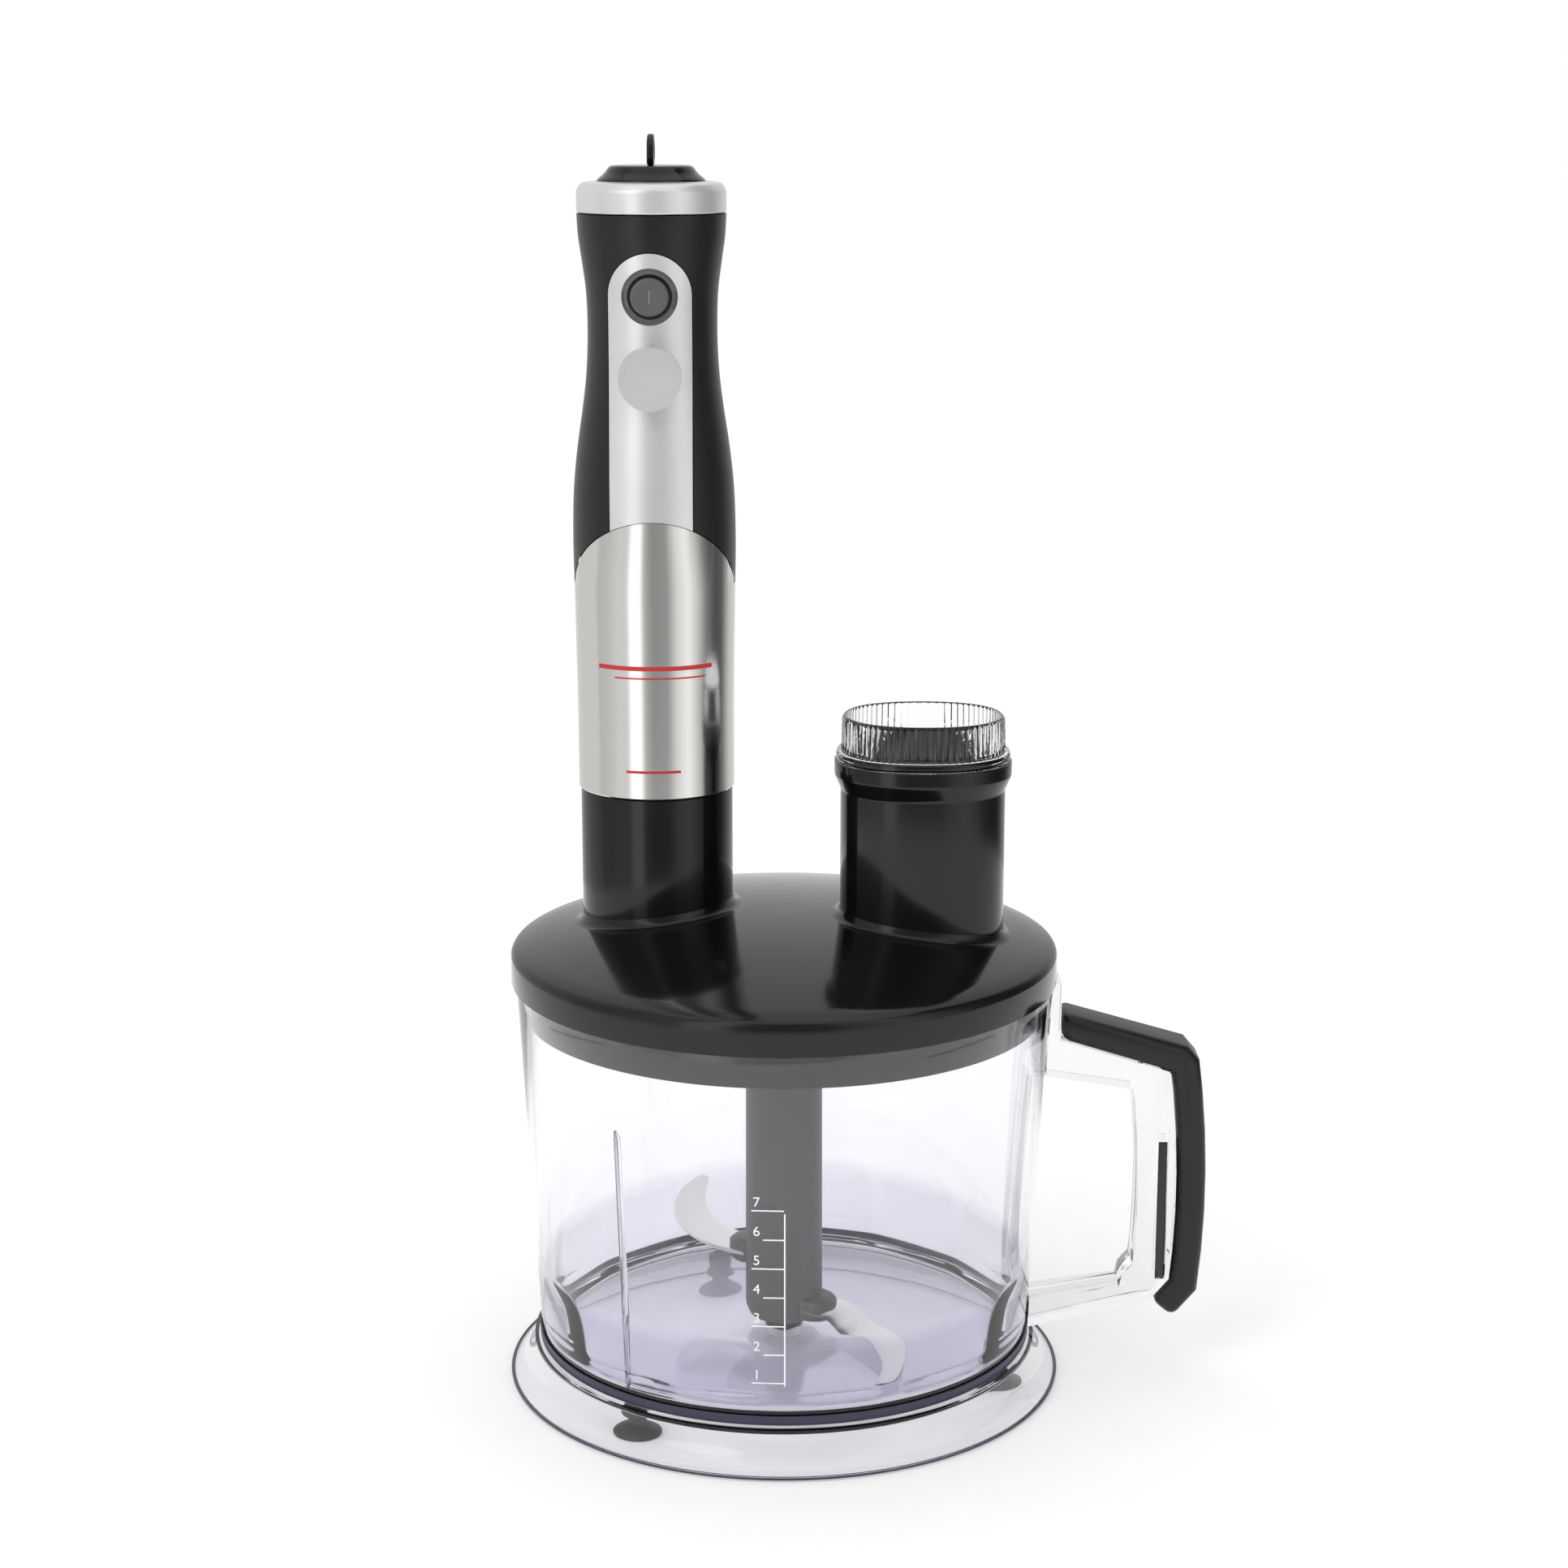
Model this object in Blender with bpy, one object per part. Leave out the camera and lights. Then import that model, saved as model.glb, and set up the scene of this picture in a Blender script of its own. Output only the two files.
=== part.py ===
"""Stick blender motor unit standing in the lid of its processing bowl.

All sizes below are in millimetres. Heights are above the table, and places in plan are
measured from the bowl's axis unless a name says otherwise. The front faces -Y.
"""

import math

import bmesh
import bpy
from mathutils import Matrix, Vector
from mathutils.geometry import convex_hull_2d

MM = 0.001

# Flat faces round a full turn
STEPS_LARGE = 40
STEPS_MEDIUM = 24
STEPS_SMALL = 12

# Fits
GAP = 0.3              # between pieces that touch on the real object
RUNNING_GAP = 0.5      # round a turning piece
SLIDING_GAP = 0.6      # round a piece that is pulled out by hand

# Base plate and feet
LID_RADIUS = 98.0              # the bowl, its base and the handle follow from it
BASE_RADIUS = LID_RADIUS + 3.0
BASE_TOP = 15.0
BASE_THICKNESS = 2.0
SKIRT_BOTTOM = 1.5
SKIRT_THICKNESS = 1.8
SKIRT_WAIST = BASE_RADIUS - 9.0
FOOT_COUNT = 3
FOOT_CIRCLE = BASE_RADIUS - 23.0
FOOT_FIRST_ANGLE = 229.0
FOOT_FLANGE_RADIUS = 8.5
FOOT_LIP_WIDTH = 4.0
FOOT_PEG_RADIUS = 2.7

# Bowl
BOWL_BOTTOM_RADIUS = LID_RADIUS - 8.8
BOWL_TOP_RADIUS = LID_RADIUS - 1.8
BOWL_WALL = 2.4
BOWL_FLOOR = 2.0
BOWL_FOOT_DEPTH = 1.0
BOWL_HEIGHT = 138.2            # foot ring to rim
BOWL_RIM_STEP = 4.0            # height of the rim that goes up inside the lid
BOWL_CORNER = 7.0              # rounding between wall and floor
SPINDLE_RADIUS = 3.0
SPINDLE_LENGTH = 34.0
SPINDLE_BOSS_RADIUS = 6.5
SPINDLE_BOSS_HEIGHT = 3.5
BOWL_BOTTOM = BASE_TOP + GAP
BOWL_TOP = BOWL_BOTTOM + BOWL_HEIGHT
LID_BOTTOM = BOWL_TOP - BOWL_RIM_STEP + GAP    # the lid and all that stands on it go up from here

# Handle, in the plane y = 0
HANDLE_REACH = LID_RADIUS + 55.6
HANDLE_WIDTH = 16.0
GRIP_WIDTH = 20.0
GRIP_THICKNESS = 10.5
HANDLE_TOP = LID_BOTTOM - 12.3
HANDLE_SHOULDER = LID_BOTTOM - 26.3        # height of the outer top corner
HANDLE_ELBOW = 31.0            # height of the outer bottom corner
HANDLE_BAR = 14.0              # width of the clear upright
FINGER_GAP_TOP = LID_BOTTOM - 41.3
FINGER_GAP_BOTTOM = 32.4
CLIP_THICKNESS = 3.0

# Lid
LID_RIM_HEIGHT = 12.8
LID_EDGE_ROUND = 3.0
LID_DOME_RISE = 11.6
LID_WALL = 2.2
LID_RIM_WALL = 1.8
LID_SKIRT_RADIUS = LID_RADIUS - 5.6
LID_SKIRT_DEPTH = 12.3         # below the rim's lower edge
LID_SKIRT_WALL = 2.0
SEAL_HEIGHT = 1.9

# Drive axis and collar
DRIVE_ANGLE = 164.2            # direction of the drive axis from the bowl's axis
COLLAR_RADIUS = 27.2
COLLAR_WALL = 2.6
COLLAR_TOP = LID_BOTTOM + 67.2
COLLAR_FLOOR = 6.0

# Gear train: pinion to idler's large wheel, idler's small wheel to output wheel
GEAR_MODULE = 1.25
PRESSURE_ANGLE = 25.0
ADDENDUM = 0.85                # in modules
DEDENDUM = 1.1                 # in modules
BACKLASH = 0.16
PINION_TEETH = 12
IDLER_LARGE_TEETH = 24
IDLER_SMALL_TEETH = 16
OUTPUT_TEETH = 24
GEAR_WIDTH = 7.5
GEAR_LEVEL_GAP = 1.0
PINION_SHAFT_RADIUS = 4.0
IDLER_PIN_RADIUS = 2.5
GEAR_COVER_BOTTOM = LID_BOTTOM - 11.8
GEAR_COVER_THICKNESS = 2.0
GEAR_COVER_WALL = 1.6
GEAR_COVER_ROOM = 0.8          # between the teeth and the cover's wall
SCREW_RADIUS = 1.5
SCREW_HEAD_RADIUS = 3.0
SCREW_HEAD_HEIGHT = 2.0
SCREW_BOSS_RADIUS = 4.0

# Hub and blades
HUB_RADIUS = 14.0
HUB_BORE_RADIUS = 7.3
HUB_HEX = 12.0                 # across flats
HUB_HEX_HEIGHT = 9.0
LOBE_RADIUS = 7.5
UPPER_LOBE_REACH = 14.5
UPPER_LOBE_HEIGHT = 44.0
UPPER_LOBE_ANGLE = 150.0
LOWER_LOBE_REACH = 14.0
LOWER_LOBE_HEIGHT = 27.5
LOWER_LOBE_ANGLE = -33.0
LOBE_THICKNESS = 8.0
BLADE_THICKNESS = 1.5
BLADE_WIDTH = 17.0
UPPER_BLADE_RADIUS = LID_RADIUS - 31.0
LOWER_BLADE_RADIUS = LID_RADIUS - 21.0
BLADE_SWEEP = 34.0             # degrees that a blade curves back over its length
UPPER_BLADE_RISE = 6.0
LOWER_BLADE_DROP = 5.0

# Feed chute and pusher
CHUTE_X = 49.2
CHUTE_Y = -3.0
CHUTE_HALF_WIDTH = 29.2
CHUTE_HALF_DEPTH = 25.0
CHUTE_WALL = 2.2
CHUTE_BOTTOM = LID_BOTTOM - 14.8
CHUTE_TOP = LID_BOTTOM + 80.4
CHUTE_COLLAR_HEIGHT = 5.2
CHUTE_COLLAR_TAPER = 5.2
CHUTE_COLLAR_STEP = 2.2
CHUTE_SQUARENESS = 2.25        # 2 is an ellipse, and higher is squarer
PUSHER_WALL = 1.8
PUSHER_FLANGE_HEIGHT = 2.8
PUSHER_CAP_HEIGHT = 12.6
PUSHER_BOTTOM = LID_BOTTOM - 8.8

# Motor unit, about the drive axis
SLEEVE_BOTTOM = LID_BOTTOM + 67.6
SLEEVE_RADIUS = 27.9
SLEEVE_WALL = 1.3
ARCH_CORNER = LID_BOTTOM + 141.2            # height where the sleeve's arch meets the sides
ARCH_TOP = LID_BOTTOM + 165.5
GRIP_OUTLINE = (               # (height above LID_BOTTOM, radius) of the grip above the arch's corners
    (141.2, 28.5), (157.2, 28.7), (174.2, 28.2), (188.8, 26.7), (203.0, 24.6),
    (214.9, 23.2), (228.2, 22.6), (242.0, 22.9), (253.4, 24.3), (261.2, 25.4), (269.1, 25.9),
)
BODY_OUTLINE = tuple((LID_BOTTOM + height, radius) for height, radius in GRIP_OUTLINE)
BODY_WALL = 2.4
BODY_INNER_RADIUS = 24.0       # inside the sleeve
BODY_BOTTOM = LID_BOTTOM + 73.2
PANEL_HALF_WIDTH = 14.3
PANEL_TOP = LID_BOTTOM + 256.6
PANEL_BOTTOM = LID_BOTTOM + 148.2
PANEL_PROUD = 0.5
RING_TOP = LID_BOTTOM + 279.2
RING_HEIGHT = 9.8
RING_RADIUS = 25.9
RING_WALL = 2.4
CAP_RADIUS = 18.8
CAP_TOP_RADIUS = 13.7
CAP_TOP = LID_BOTTOM + 285.4
LOOP_RADIUS = 7.0
LOOP_EYE_RADIUS = 3.2
LOOP_THICKNESS = 2.4
LOOP_TOP = LID_BOTTOM + 295.9
COUPLING_BOTTOM = LID_BOTTOM + 33.2
COUPLING_WALL = 2.4

# Buttons: (name, height, face radius, hole radius)
BUTTONS = (
    ("low_speed", LID_BOTTOM + 242.0, 6.55, 7.7),
    ("high_speed", LID_BOTTOM + 214.9, 7.5, 8.8),
)
BUTTON_PROUD = 1.2
BUTTON_TRAVEL = 2.5
BUTTON_FLANGE = 2.0            # wider than the face, all round
BUTTON_FLANGE_THICKNESS = 1.5
SWITCH_SIDE = 6.0
SPRING_WIRE = 0.45
SPRING_RADIUS = 5.4
SPRING_TURNS = 4
BOARD_FRONT = -9.3
BOARD_THICKNESS = 1.6
BOARD_WIDTH = 22.0
BOARD_BOTTOM = LID_BOTTOM + 200.2
BOARD_TOP = LID_BOTTOM + 254.2

# Motor, about the drive axis
SHAFT_RADIUS = 3.0
SHAFT_BOTTOM = LID_BOTTOM + 39.0
SHAFT_TOP = LID_BOTTOM + 156.2
DOG_HEX = 8.0                  # across flats
DOG_BOTTOM = LID_BOTTOM + 27.2
DOG_HEX_HEIGHT = 12.0
DOG_FLANGE_RADIUS = 7.0
DOG_TOP = LID_BOTTOM + 50.2
COUPLER_RADIUS = 8.0
COUPLER_BOTTOM = LID_BOTTOM + 21.2
COUPLER_TOP = LID_BOTTOM + 36.2
SOCKET_DEPTH = 9.5
BEARING_RADIUS = 8.0
BEARING_HEIGHT = 5.0
BRACKET_RADIUS = 23.4
BRACKET_THICKNESS = 4.0
LOWER_BRACKET = LID_BOTTOM + 76.2
UPPER_BRACKET = LID_BOTTOM + 149.2
FAN_RADIUS = 19.0
FAN_BOTTOM = LID_BOTTOM + 83.2
FAN_HEIGHT = 7.0
FAN_BLADES = 9
STATOR_RADIUS = 21.5
STATOR_BORE = 13.0
STATOR_BOTTOM = LID_BOTTOM + 96.2
STATOR_HEIGHT = 35.0
COIL_DEPTH = 4.6
COIL_WIDTH = 11.4
COIL_OVERHANG = 3.0
ARMATURE_RADIUS = 12.3
ARMATURE_SLOTS = 12
COMMUTATOR_RADIUS = 8.0
COMMUTATOR_BOTTOM = LID_BOTTOM + 135.7
COMMUTATOR_HEIGHT = 11.0
BRUSH_LENGTH = 10.0
BRUSH_WIDTH = 4.0
BRUSH_HEIGHT = 5.0
DAMPER_HEIGHT = 3.0

# Places and sizes that follow from the ones above
BOWL_X = (BASE_RADIUS - HANDLE_REACH) / 2          # centres the whole object on the origin
BOWL_FLOOR_TOP = BOWL_BOTTOM + BOWL_FOOT_DEPTH + BOWL_FLOOR
LID_CHANNEL_TOP = BOWL_TOP + GAP + SEAL_HEIGHT + GAP
LID_EDGE = LID_BOTTOM + LID_RIM_HEIGHT
LID_FLAT_RADIUS = LID_RADIUS - LID_EDGE_ROUND
LID_DOME_RADIUS = (LID_FLAT_RADIUS**2 + LID_DOME_RISE**2) / (2 * LID_DOME_RISE)
LID_APEX = LID_EDGE + LID_DOME_RISE
FIRST_CENTRES = GEAR_MODULE * (PINION_TEETH + IDLER_LARGE_TEETH) / 2
SECOND_CENTRES = GEAR_MODULE * (IDLER_SMALL_TEETH + OUTPUT_TEETH) / 2
DRIVE_OFFSET = FIRST_CENTRES + SECOND_CENTRES
DRIVE = Vector((math.cos(math.radians(DRIVE_ANGLE)), math.sin(math.radians(DRIVE_ANGLE)))) * DRIVE_OFFSET
IDLER = DRIVE * (SECOND_CENTRES / DRIVE_OFFSET)
CHUTE = Vector((CHUTE_X, CHUTE_Y))
LOWER_GEARS = GEAR_COVER_BOTTOM + GEAR_COVER_THICKNESS + GEAR_LEVEL_GAP
UPPER_GEARS = LOWER_GEARS + GEAR_WIDTH + GEAR_LEVEL_GAP
COLLAR_BOTTOM = UPPER_GEARS + GEAR_WIDTH + GEAR_LEVEL_GAP
HUB_TOP = GEAR_COVER_BOTTOM - 1.0
HUB_BOTTOM = BOWL_FLOOR_TOP + SPINDLE_BOSS_HEIGHT + GAP
RING_BOTTOM = RING_TOP - RING_HEIGHT
SLEEVE_ROOM = SLEEVE_RADIUS - SLEEVE_WALL - GAP    # radius of what stands inside the sleeve


# ---------------------------------------------------------------- tools

def make_material(name, colour, roughness, metallic=0.0, transmission=0.0):
    material = bpy.data.materials.new(name)
    material.use_nodes = True
    shader = material.node_tree.nodes["Principled BSDF"]
    shader.inputs["Base Color"].default_value = (*colour, 1.0)
    shader.inputs["Roughness"].default_value = roughness
    shader.inputs["Metallic"].default_value = metallic
    shader.inputs["Transmission Weight"].default_value = transmission
    return material


def make_materials():
    return {
        "clear": make_material("clear_plastic", (0.86, 0.86, 0.95), 0.05, 0.0, 0.9),
        "black": make_material("black_gloss", (0.012, 0.012, 0.013), 0.15),
        "satin": make_material("black_satin", (0.02, 0.02, 0.022), 0.45),
        "grey": make_material("dark_grey", (0.10, 0.10, 0.12), 0.4),
        "button": make_material("button_grey", (0.06, 0.065, 0.07), 0.5),
        "silver": make_material("silver_paint", (0.62, 0.62, 0.62), 0.35, 0.8),
        "steel": make_material("polished_steel", (0.72, 0.71, 0.69), 0.2, 1.0),
        "rubber": make_material("black_rubber", (0.015, 0.015, 0.015), 0.75),
        "white": make_material("white_acetal", (0.78, 0.78, 0.74), 0.4),
        "copper": make_material("copper", (0.72, 0.35, 0.18), 0.35, 1.0),
        "iron": make_material("laminated_iron", (0.25, 0.25, 0.26), 0.45, 0.9),
        "carbon": make_material("carbon", (0.03, 0.03, 0.03), 0.7),
        "board": make_material("circuit_board", (0.05, 0.22, 0.10), 0.5),
    }


def new_piece(name, points, faces, material=None):
    """One mesh object from points in millimetres, with its normals facing out."""
    mesh = bpy.data.meshes.new(name)
    mesh.from_pydata([tuple(c * MM for c in p) for p in points], [], faces)
    model = bmesh.new()
    model.from_mesh(mesh)
    bmesh.ops.remove_doubles(model, verts=model.verts, dist=1e-6)
    bmesh.ops.recalc_face_normals(model, faces=model.faces)
    model.to_mesh(mesh)
    model.free()
    piece = bpy.data.objects.new(name, mesh)
    bpy.context.scene.collection.objects.link(piece)
    if material is not None:
        mesh.materials.append(material)
    return piece


def ring_points(radii, height, steps, power=2.0):
    """A closed ring in plan: a circle or, with a higher power, a squarer oval."""
    points = []
    for i in range(steps):
        angle = 2 * math.pi * i / steps
        c, s = math.cos(angle), math.sin(angle)
        x = math.copysign(abs(c) ** (2 / power), c) * radii[0]
        y = math.copysign(abs(s) ** (2 / power), s) * radii[1]
        points.append((x, y, height))
    return points


def lofted(name, rings, material=None, closed=True):
    """A skin over equal rings. It closes on itself, or is capped at both ends."""
    steps = len(rings[0])
    points = [p for ring in rings for p in ring]
    faces = []
    count = len(rings)
    for k in range(count if closed else count - 1):
        low, high = k * steps, ((k + 1) % count) * steps
        for i in range(steps):
            j = (i + 1) % steps
            faces.append((low + i, low + j, high + j, high + i))
    if not closed:
        faces.append(tuple(range(steps)))
        faces.append(tuple(range((count - 1) * steps, count * steps)))
    return new_piece(name, points, faces, material)


def turned(name, profile, material=None, steps=STEPS_MEDIUM):
    """A turned piece from (radius, height) points. Ends on the axis close it, else it is a ring."""
    solid = profile[0][0] == 0 and profile[-1][0] == 0
    body = profile[1:-1] if solid else profile
    rings = [ring_points((r, r), z, steps) for r, z in body]
    return lofted(name, rings, material, closed=not solid)


def oval(name, profile, half_width, half_depth, material=None, steps=STEPS_MEDIUM, power=CHUTE_SQUARENESS):
    """A ring like a turned one, whose profile's first number is the distance outside an oval."""
    rings = [ring_points((half_width + d, half_depth + d), z, steps, power) for d, z in profile]
    return lofted(name, rings, material)


def oval_prism(name, half_width, half_depth, low, high, steps=STEPS_MEDIUM, power=CHUTE_SQUARENESS):
    rings = [ring_points((half_width, half_depth), z, steps, power) for z in (low, high)]
    return lofted(name, rings, closed=False)


def extruded(name, outline, low, high, material=None, axis="Z"):
    """A flat outline carried from low to high along an axis. Its two numbers are the other axes."""
    order = {"X": lambda a, b, c: (c, a, b), "Y": lambda a, b, c: (a, c, b),
             "Z": lambda a, b, c: (a, b, c)}[axis]
    rings = [[order(a, b, level) for a, b in outline] for level in (low, high)]
    return lofted(name, rings, material, closed=False)


def block(name, low, high, material=None):
    outline = [(low[0], low[1]), (high[0], low[1]), (high[0], high[1]), (low[0], high[1])]
    return extruded(name, outline, low[2], high[2], material)


def rod(name, radius, low, high, steps=STEPS_SMALL, axis="Z", material=None):
    outline = [(p[0], p[1]) for p in ring_points((radius, radius), 0, steps)]
    return extruded(name, outline, low, high, material, axis)


def polygon(sides, flat, turn=0.0):
    """Corners of a regular polygon of the given size across its flats."""
    radius = flat / 2 / math.cos(math.pi / sides)
    return [(radius * math.cos(turn + 2 * math.pi * (i + 0.5) / sides),
             radius * math.sin(turn + 2 * math.pi * (i + 0.5) / sides)) for i in range(sides)]


def arc(centre, radius, start, end, steps):
    """Points from the start angle to the end angle, in degrees. The radius may be a pair."""
    rx, ry = radius if isinstance(radius, tuple) else (radius, radius)
    angles = [math.radians(start + (end - start) * i / steps) for i in range(steps + 1)]
    return [(centre[0] + rx * math.cos(a), centre[1] + ry * math.sin(a)) for a in angles]


def move(piece, x=0.0, y=0.0, z=0.0):
    piece.data.transform(Matrix.Translation((x * MM, y * MM, z * MM)))
    return piece


def turn(piece, degrees, axis="Z"):
    piece.data.transform(Matrix.Rotation(math.radians(degrees), 4, axis))
    return piece


def combine(piece, tool, operation):
    """Cut, join or intersect a piece with a tool, which is used up."""
    modifier = piece.modifiers.new(operation, "BOOLEAN")
    modifier.operation = operation
    modifier.object = tool
    bpy.context.view_layer.update()
    graph = bpy.context.evaluated_depsgraph_get()
    result = bpy.data.meshes.new_from_object(piece.evaluated_get(graph))
    piece.modifiers.clear()
    piece.data = result
    bpy.data.objects.remove(tool)
    return piece


def cut(piece, tool):
    return combine(piece, tool, "DIFFERENCE")


def join(piece, tool):
    return combine(piece, tool, "UNION")


def keep_inside(piece, tool):
    return combine(piece, tool, "INTERSECT")


def shade(piece):
    piece.data.shade_smooth()
    piece.data.set_sharp_from_angle(angle=math.radians(35))


def place(piece, parent, x=0.0, y=0.0, z=0.0):
    """Stand a piece, whose mesh is about its own axis, on a parent at a place in plan."""
    piece.data.transform(Matrix.Translation((0, 0, -z * MM)))
    piece.parent = parent
    piece.location = (x * MM, y * MM, z * MM)
    shade(piece)
    return piece


# ---------------------------------------------------------------- base plate and feet

def foot_places():
    angles = [FOOT_FIRST_ANGLE + 360 * i / FOOT_COUNT for i in range(FOOT_COUNT)]
    return [(FOOT_CIRCLE * math.cos(math.radians(a)), FOOT_CIRCLE * math.sin(math.radians(a)))
            for a in angles]


def make_base_plate(parent, material):
    """A flat disc whose edge flares down to just above the table."""
    underside = BASE_TOP - BASE_THICKNESS
    flare = (BASE_RADIUS - SKIRT_WAIST, BASE_TOP - SKIRT_BOTTOM)
    inner = (flare[0] + SKIRT_THICKNESS, flare[1])
    centre = (BASE_RADIUS, BASE_TOP)
    start = 180 + math.degrees(math.asin(BASE_THICKNESS / inner[1]))
    lip = (BASE_RADIUS, SKIRT_BOTTOM - SKIRT_THICKNESS / 2)
    ridge = BOWL_BOTTOM_RADIUS - BOWL_WALL - SLIDING_GAP
    profile = [(0, underside)]
    profile += arc(centre, inner, start, 260, 3)
    profile += [lip] + arc(centre, flare, 270, 180, 4)
    profile += [(ridge, BASE_TOP), (ridge, BASE_TOP + BOWL_FOOT_DEPTH)]
    profile += [(ridge - SKIRT_THICKNESS, BASE_TOP + BOWL_FOOT_DEPTH)]
    profile += [(ridge - SKIRT_THICKNESS, BASE_TOP), (0, BASE_TOP)]
    plate = turned("base_plate", profile, material, STEPS_LARGE)
    for x, y in foot_places():
        hole = rod("hole", FOOT_PEG_RADIUS + GAP, underside - 1, BASE_TOP + 1)
        cut(plate, move(hole, x, y))
    return place(plate, parent)


def make_feet(parent, material):
    """Suction feet: a hollow flange on the table, a waist, and a peg in the plate's hole."""
    shoulder = BASE_TOP - BASE_THICKNESS - GAP
    inside = FOOT_FLANGE_RADIUS - FOOT_LIP_WIDTH
    profile = [
        (0, 1.5), (inside, 1.5), (inside, 0), (FOOT_FLANGE_RADIUS, 0), (FOOT_FLANGE_RADIUS, 1.0),
        (5.2, 3.0), (3.4, 4.2), (3.4, 6.4), (5.4, 7.2), (5.4, 8.4), (4.2, 9.2), (4.2, shoulder),
        (FOOT_PEG_RADIUS, shoulder), (FOOT_PEG_RADIUS, BASE_TOP - GAP), (0, BASE_TOP - GAP),
    ]
    for number, (x, y) in enumerate(foot_places(), start=1):
        place(turned(f"suction_foot_{number}", profile, material, STEPS_SMALL), parent, x, y)


# ---------------------------------------------------------------- bowl

def bowl_radius(height):
    """Outside radius of the bowl's tapered wall at a height."""
    share = (height - BOWL_BOTTOM) / (BOWL_HEIGHT - BOWL_RIM_STEP)
    return BOWL_BOTTOM_RADIUS + (BOWL_TOP_RADIUS - BOWL_BOTTOM_RADIUS) * share


def make_bowl(parent, material):
    step = BOWL_TOP - BOWL_RIM_STEP
    rim = LID_RADIUS - LID_RIM_WALL - SLIDING_GAP
    corner_radius = bowl_radius(BOWL_FLOOR_TOP) - BOWL_WALL - BOWL_CORNER
    corner = arc((corner_radius, BOWL_FLOOR_TOP + BOWL_CORNER), BOWL_CORNER, 0, -90, 3)
    boss_top = BOWL_FLOOR_TOP + SPINDLE_BOSS_HEIGHT
    profile = [
        (0, BOWL_BOTTOM + BOWL_FOOT_DEPTH), (BOWL_BOTTOM_RADIUS - BOWL_WALL, BOWL_BOTTOM + BOWL_FOOT_DEPTH),
        (BOWL_BOTTOM_RADIUS - BOWL_WALL, BOWL_BOTTOM), (BOWL_BOTTOM_RADIUS, BOWL_BOTTOM),
        (bowl_radius(step), step), (rim, step), (rim, BOWL_TOP), (rim - BOWL_WALL, BOWL_TOP),
        (rim - BOWL_WALL, step), *corner,
        (SPINDLE_BOSS_RADIUS, BOWL_FLOOR_TOP), (SPINDLE_BOSS_RADIUS, boss_top), (0, boss_top),
    ]
    bowl = turned("bowl", profile, material, STEPS_LARGE)
    cut(bowl, rod("hole", SPINDLE_RADIUS + GAP, BOWL_FLOOR_TOP + 0.7, boss_top + 1))
    return place(bowl, parent)


def make_spindle_pin(parent, material):
    bottom = BOWL_FLOOR_TOP + 0.7 + GAP
    top = bottom + SPINDLE_LENGTH
    dome = arc((0, top - SPINDLE_RADIUS), SPINDLE_RADIUS, 0, 75, 3)
    profile = [(0, bottom), (SPINDLE_RADIUS, bottom), *dome, (0, top)]
    return place(turned("spindle_pin", profile, material, STEPS_SMALL), parent, z=bottom)


# ---------------------------------------------------------------- handle

def grip_line(inset):
    """The handle's outer line from the lid down to the lower end, moved inwards by a distance."""
    start = Vector((LID_RADIUS + 2.0, HANDLE_TOP))
    shoulder = Vector((HANDLE_REACH - 4.1, HANDLE_SHOULDER))
    elbow = Vector((HANDLE_REACH - 2.0, HANDLE_ELBOW))
    end = Vector((elbow.x - 8.8, elbow.y - 10.4))
    bulge = HANDLE_REACH - (shoulder.x + elbow.x) / 2
    side = []
    for i in range(1, 6):
        t = i / 6
        side.append(shoulder.lerp(elbow, t) + Vector((bulge * 4 * t * (1 - t), 0)))
    line = [start, shoulder, *side, elbow, end]
    moved = []
    for i, point in enumerate(line):
        before = (point - line[max(i - 1, 0)]).normalized()
        after = (line[min(i + 1, len(line) - 1)] - point).normalized()
        along = (before + after).normalized()
        inwards = Vector((along.y, -along.x))
        mitre = max(before.dot(along), after.dot(along))
        moved.append(point + inwards * (inset / mitre))
    moved[0].x = start.x
    if inset == 0:
        cut_back = 4.0
        before = moved[1] + (moved[0] - moved[1]).normalized() * cut_back
        after = moved[1] + (moved[2] - moved[1]).normalized() * cut_back
        moved[1:2] = [before, after]
    return [tuple(point) for point in moved]


def make_handle_frame(parent, material):
    """The clear frame: a bar out from the bowl above and below, and an upright between them."""
    outside = grip_line(GRIP_THICKNESS + GAP)
    inside = grip_line(GRIP_THICKNESS + GAP + HANDLE_BAR)
    upright = [p for p in inside if FINGER_GAP_BOTTOM + 4 < p[1] < FINGER_GAP_TOP - 4]
    top, bottom = LID_BOTTOM - 1.8, BOWL_BOTTOM + 1.2
    near = [(bowl_radius(z) + GAP, z) for z in (bottom, FINGER_GAP_BOTTOM - 4.8, FINGER_GAP_TOP + 5, top)]
    outline = [
        near[0], near[1], (upright[-1][0] - 1, FINGER_GAP_BOTTOM), *reversed(upright),
        (upright[0][0] - 1, FINGER_GAP_TOP), near[2], near[3], (LID_RADIUS + 2 - GAP, top),
        (LID_RADIUS + 2 - GAP, outside[0][1]), *outside[1:],
    ]
    frame = extruded("handle_frame", outline, -HANDLE_WIDTH / 2, HANDLE_WIDTH / 2, material, "Y")
    low, high = clip_corners(0)
    cut(frame, block("slot", (low[0], -HANDLE_WIDTH, low[1]), (high[0], HANDLE_WIDTH, high[1])))
    return place(frame, parent)


def clip_corners(gap):
    """Low and high corners, in the handle's plane, of the slot in the upright or its clip."""
    right = HANDLE_REACH - GRIP_THICKNESS - 3.5
    return ((right - CLIP_THICKNESS - 2 * GAP + gap, FINGER_GAP_BOTTOM + 3 + gap),
            (right - gap, FINGER_GAP_BOTTOM + 56 - gap))


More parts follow.
